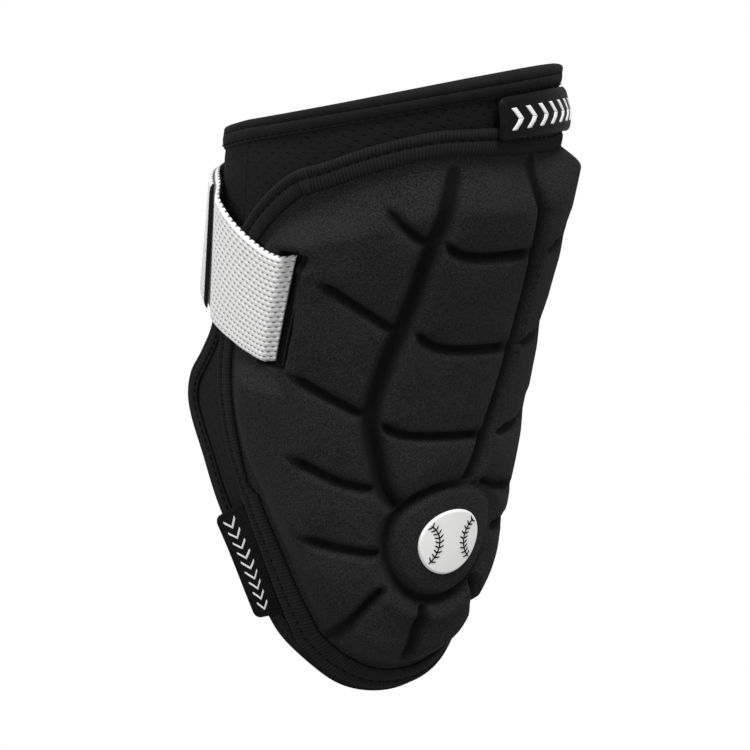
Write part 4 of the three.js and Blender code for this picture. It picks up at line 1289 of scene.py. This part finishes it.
def hem_cloth():
    m = Nodes("hem_cloth")
    fibre = m.noise(0.4, 3, 0.6)
    shade = m.total((0.6, fibre), (0.4, m.noise(6, 2)))
    colour = m.blend(m.ease(shade, 0.3, 0.75), grey(0.0105), grey(0.0165))
    return m.surface(colour, fibre, (0.8, 0.95), 0.07, m.bump(fibre, 0.14), (0.01, 0.5))


def thread():
    m = Nodes("thread")
    fibre = m.noise(0.2, 2)
    colour = m.blend(fibre, grey(0.003), grey(0.008))
    return m.surface(colour, fibre, (0.7, 0.9), 0.05, m.bump(fibre, 0.08))


def edge_tape():
    """Overlocked tape, with a painted highlight that makes the crests of its ribs lighter."""
    m = Nodes("edge_tape")
    fibre = m.noise(0.25, 2)
    # painted highlight: lighter where the rib attribute is high, at the ribs' crests
    shade = m.total((0.7, m.attribute("rib")), (0.35, fibre))
    colour = m.blend(m.ease(shade, 0.1, 0.95), grey(0.009), grey(0.0165))
    return m.surface(colour, fibre, (0.75, 0.92), 0.08, m.bump(fibre, 0.1), (0.012, 0.5))


def white_elastic():
    """Knit elastic of white yarn, with painted shade in its pinholes."""
    m = Nodes("white_elastic")
    fibre = m.noise(0.22, 3, 0.6)
    yarn = m.blend(m.ease(fibre, 0.25, 0.75), (0.87, 0.87, 0.865), (0.95, 0.95, 0.94))
    yarn = m.blend(m.math("MULTIPLY", m.noise(9, 2), 0.25), yarn, (0.94, 0.94, 0.93))
    # painted shade: the pinholes are dark grey in the white yarn
    colour = m.blend(m.ease(m.attribute("pinhole_shade"), 0.1, 0.6), yarn, (0.14, 0.14, 0.142))
    return m.surface(colour, fibre, (0.75, 0.92), 0.25, m.bump(fibre, 0.14), (0.15, 0.4))


def black_rubber():
    m = Nodes("black_rubber")
    grain = m.noise(0.5, 3, 0.6)
    colour = m.blend(grain, grey(0.003), grey(0.005))
    return m.surface(colour, grain, (0.45, 0.6), 0.12, m.bump(grain, 0.03))


def woven_label():
    """Satin weave with fine ribs across the tag."""
    m = Nodes("woven_label")
    across, up = m.uv()
    ribs = m.math("SINE", m.math("MULTIPLY", up, 2 * math.pi / 0.55))
    floats = m.math("SINE", m.math("MULTIPLY", across, 2 * math.pi / 0.8))
    weave = m.total((0.35, ribs), (0.15, floats))
    shade = m.math("ADD", weave, m.noise(0.5, 2))
    colour = m.blend(m.ease(shade, 0.0, 1.0), grey(0.002), grey(0.0045))
    return m.surface(colour, m.noise(0.4, 2), (0.6, 0.8), 0.06, m.bump(weave, 0.08))


def white_print():
    m = Nodes("white_print")
    grain = m.noise(0.5, 3, 0.6)
    colour = m.blend(grain, (0.9, 0.9, 0.89), (0.95, 0.95, 0.945))
    return m.surface(colour, grain, (0.45, 0.62), 0.35, m.bump(grain, 0.04))


# Pieces

CLOTHS = (
    pod_cloth, mesh_cloth, hem_cloth, thread, edge_tape, white_elastic, black_rubber,
    woven_label, white_print,
)
cloths = {make.__name__: make() for make in CLOTHS}

# What makes each piece, its record slot, the CAD node it stands for, and its material where that
# has another name than the slot
PIECES = [
    (make_shell, "pod_cloth", "shell"),
    (make_slot_lips, "pod_cloth", None),
    (make_sleeve, "mesh_cloth", "sleeve"),
    (make_rim_hem, "hem_cloth", "rim_hem"),
    (make_lower_hem, "hem_cloth", "lower_hem"),
    (make_hem_stitches, "hem_cloth", None, "thread"),
    (make_back_seam, "hem_cloth", None),
    (make_tape, "edge_tape", "shell_tape"),
    (make_tape_stitches, "edge_tape", None, "thread"),
    (make_strap, "white_elastic", "strap"),
    (make_tab, "white_elastic", "strap_tab"),
    (make_tab_tape, "edge_tape", "strap_tab_tape", "hem_cloth"),
    (make_patch, "black_rubber", "cuff_patch"),
    (make_patch_marks, "white_print", None),
    (make_tag, "woven_label", "side_tag"),
    (make_tag_marks, "white_print", None),
    (make_badge, "white_print", "ball_badge"),
    (make_badge_seams, "woven_label", None, "thread"),
]

for make, slot, node, *cloth in PIECES:
    piece = make()
    piece.data.materials.append(cloths[cloth[0] if cloth else slot])
    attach(piece, "root")
    if node:
        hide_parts(node)

# Light and camera

AIM = np.array([0.0, -6.5, -31.0])
AZIMUTH = -36
ELEVATION = 10
DISTANCE = 1100
MM_PER_PIXEL = 0.35  # at the aim point, in a picture 750 pixels wide
PICTURE = 750
SENSOR = 36
AMBIENT = 0.46  # light from the backdrop, against 1 where the camera sees it


def aimed(name, data, azimuth, elevation, distance):
    """A lamp or a camera that looks at the aim point."""
    a, e = math.radians(azimuth), math.radians(elevation)
    out = np.array([math.sin(a) * math.cos(e), -math.cos(a) * math.cos(e), math.sin(e)])
    thing = bpy.data.objects.new(name, data)
    thing.location = Vector((AIM + out * distance) * MM)
    thing.rotation_euler = Vector(-out).to_track_quat("-Z", "Y").to_euler()
    bpy.context.collection.objects.link(thing)
    return thing


def make_lamp(kind, name, azimuth, elevation, distance, **settings):
    lamp = bpy.data.lights.new(name, kind)
    for key, value in settings.items():
        setattr(lamp, key, value)
    aimed(name, lamp, azimuth, elevation, distance)


def make_camera():
    lens = bpy.data.cameras.new("camera")
    lens.sensor_width = SENSOR
    lens.lens = SENSOR * DISTANCE / MM_PER_PIXEL / PICTURE
    lens.clip_start = 0.01
    lens.clip_end = 50
    bpy.context.scene.camera = aimed("camera", lens, AZIMUTH, ELEVATION, DISTANCE)


def make_world():
    """A white backdrop that lights the guard less than it shows."""
    world = bpy.data.worlds.new("studio")
    world.use_nodes = True
    tree = world.node_tree
    backdrop = tree.nodes["Background"]
    backdrop.inputs["Color"].default_value = (1, 1, 1, 1)
    seen = tree.nodes.new("ShaderNodeMapRange")
    seen.inputs["To Min"].default_value = AMBIENT
    seen.inputs["To Max"].default_value = 1
    tree.links.new(tree.nodes.new("ShaderNodeLightPath").outputs["Is Camera Ray"], seen.inputs[0])
    tree.links.new(seen.outputs[0], backdrop.inputs["Strength"])
    bpy.context.scene.world = world


make_lamp("SUN", "key", -14, 60, DISTANCE, energy=2.5, angle=math.radians(20))
make_lamp("AREA", "strap_fill", -78, 14, DISTANCE, energy=2, shape="DISK", size=0.3)
make_lamp("AREA", "rim_left", -140, 30, 900, energy=2, shape="DISK", size=0.4)
make_camera()
make_world()
bpy.context.scene.view_settings.view_transform = "Standard"
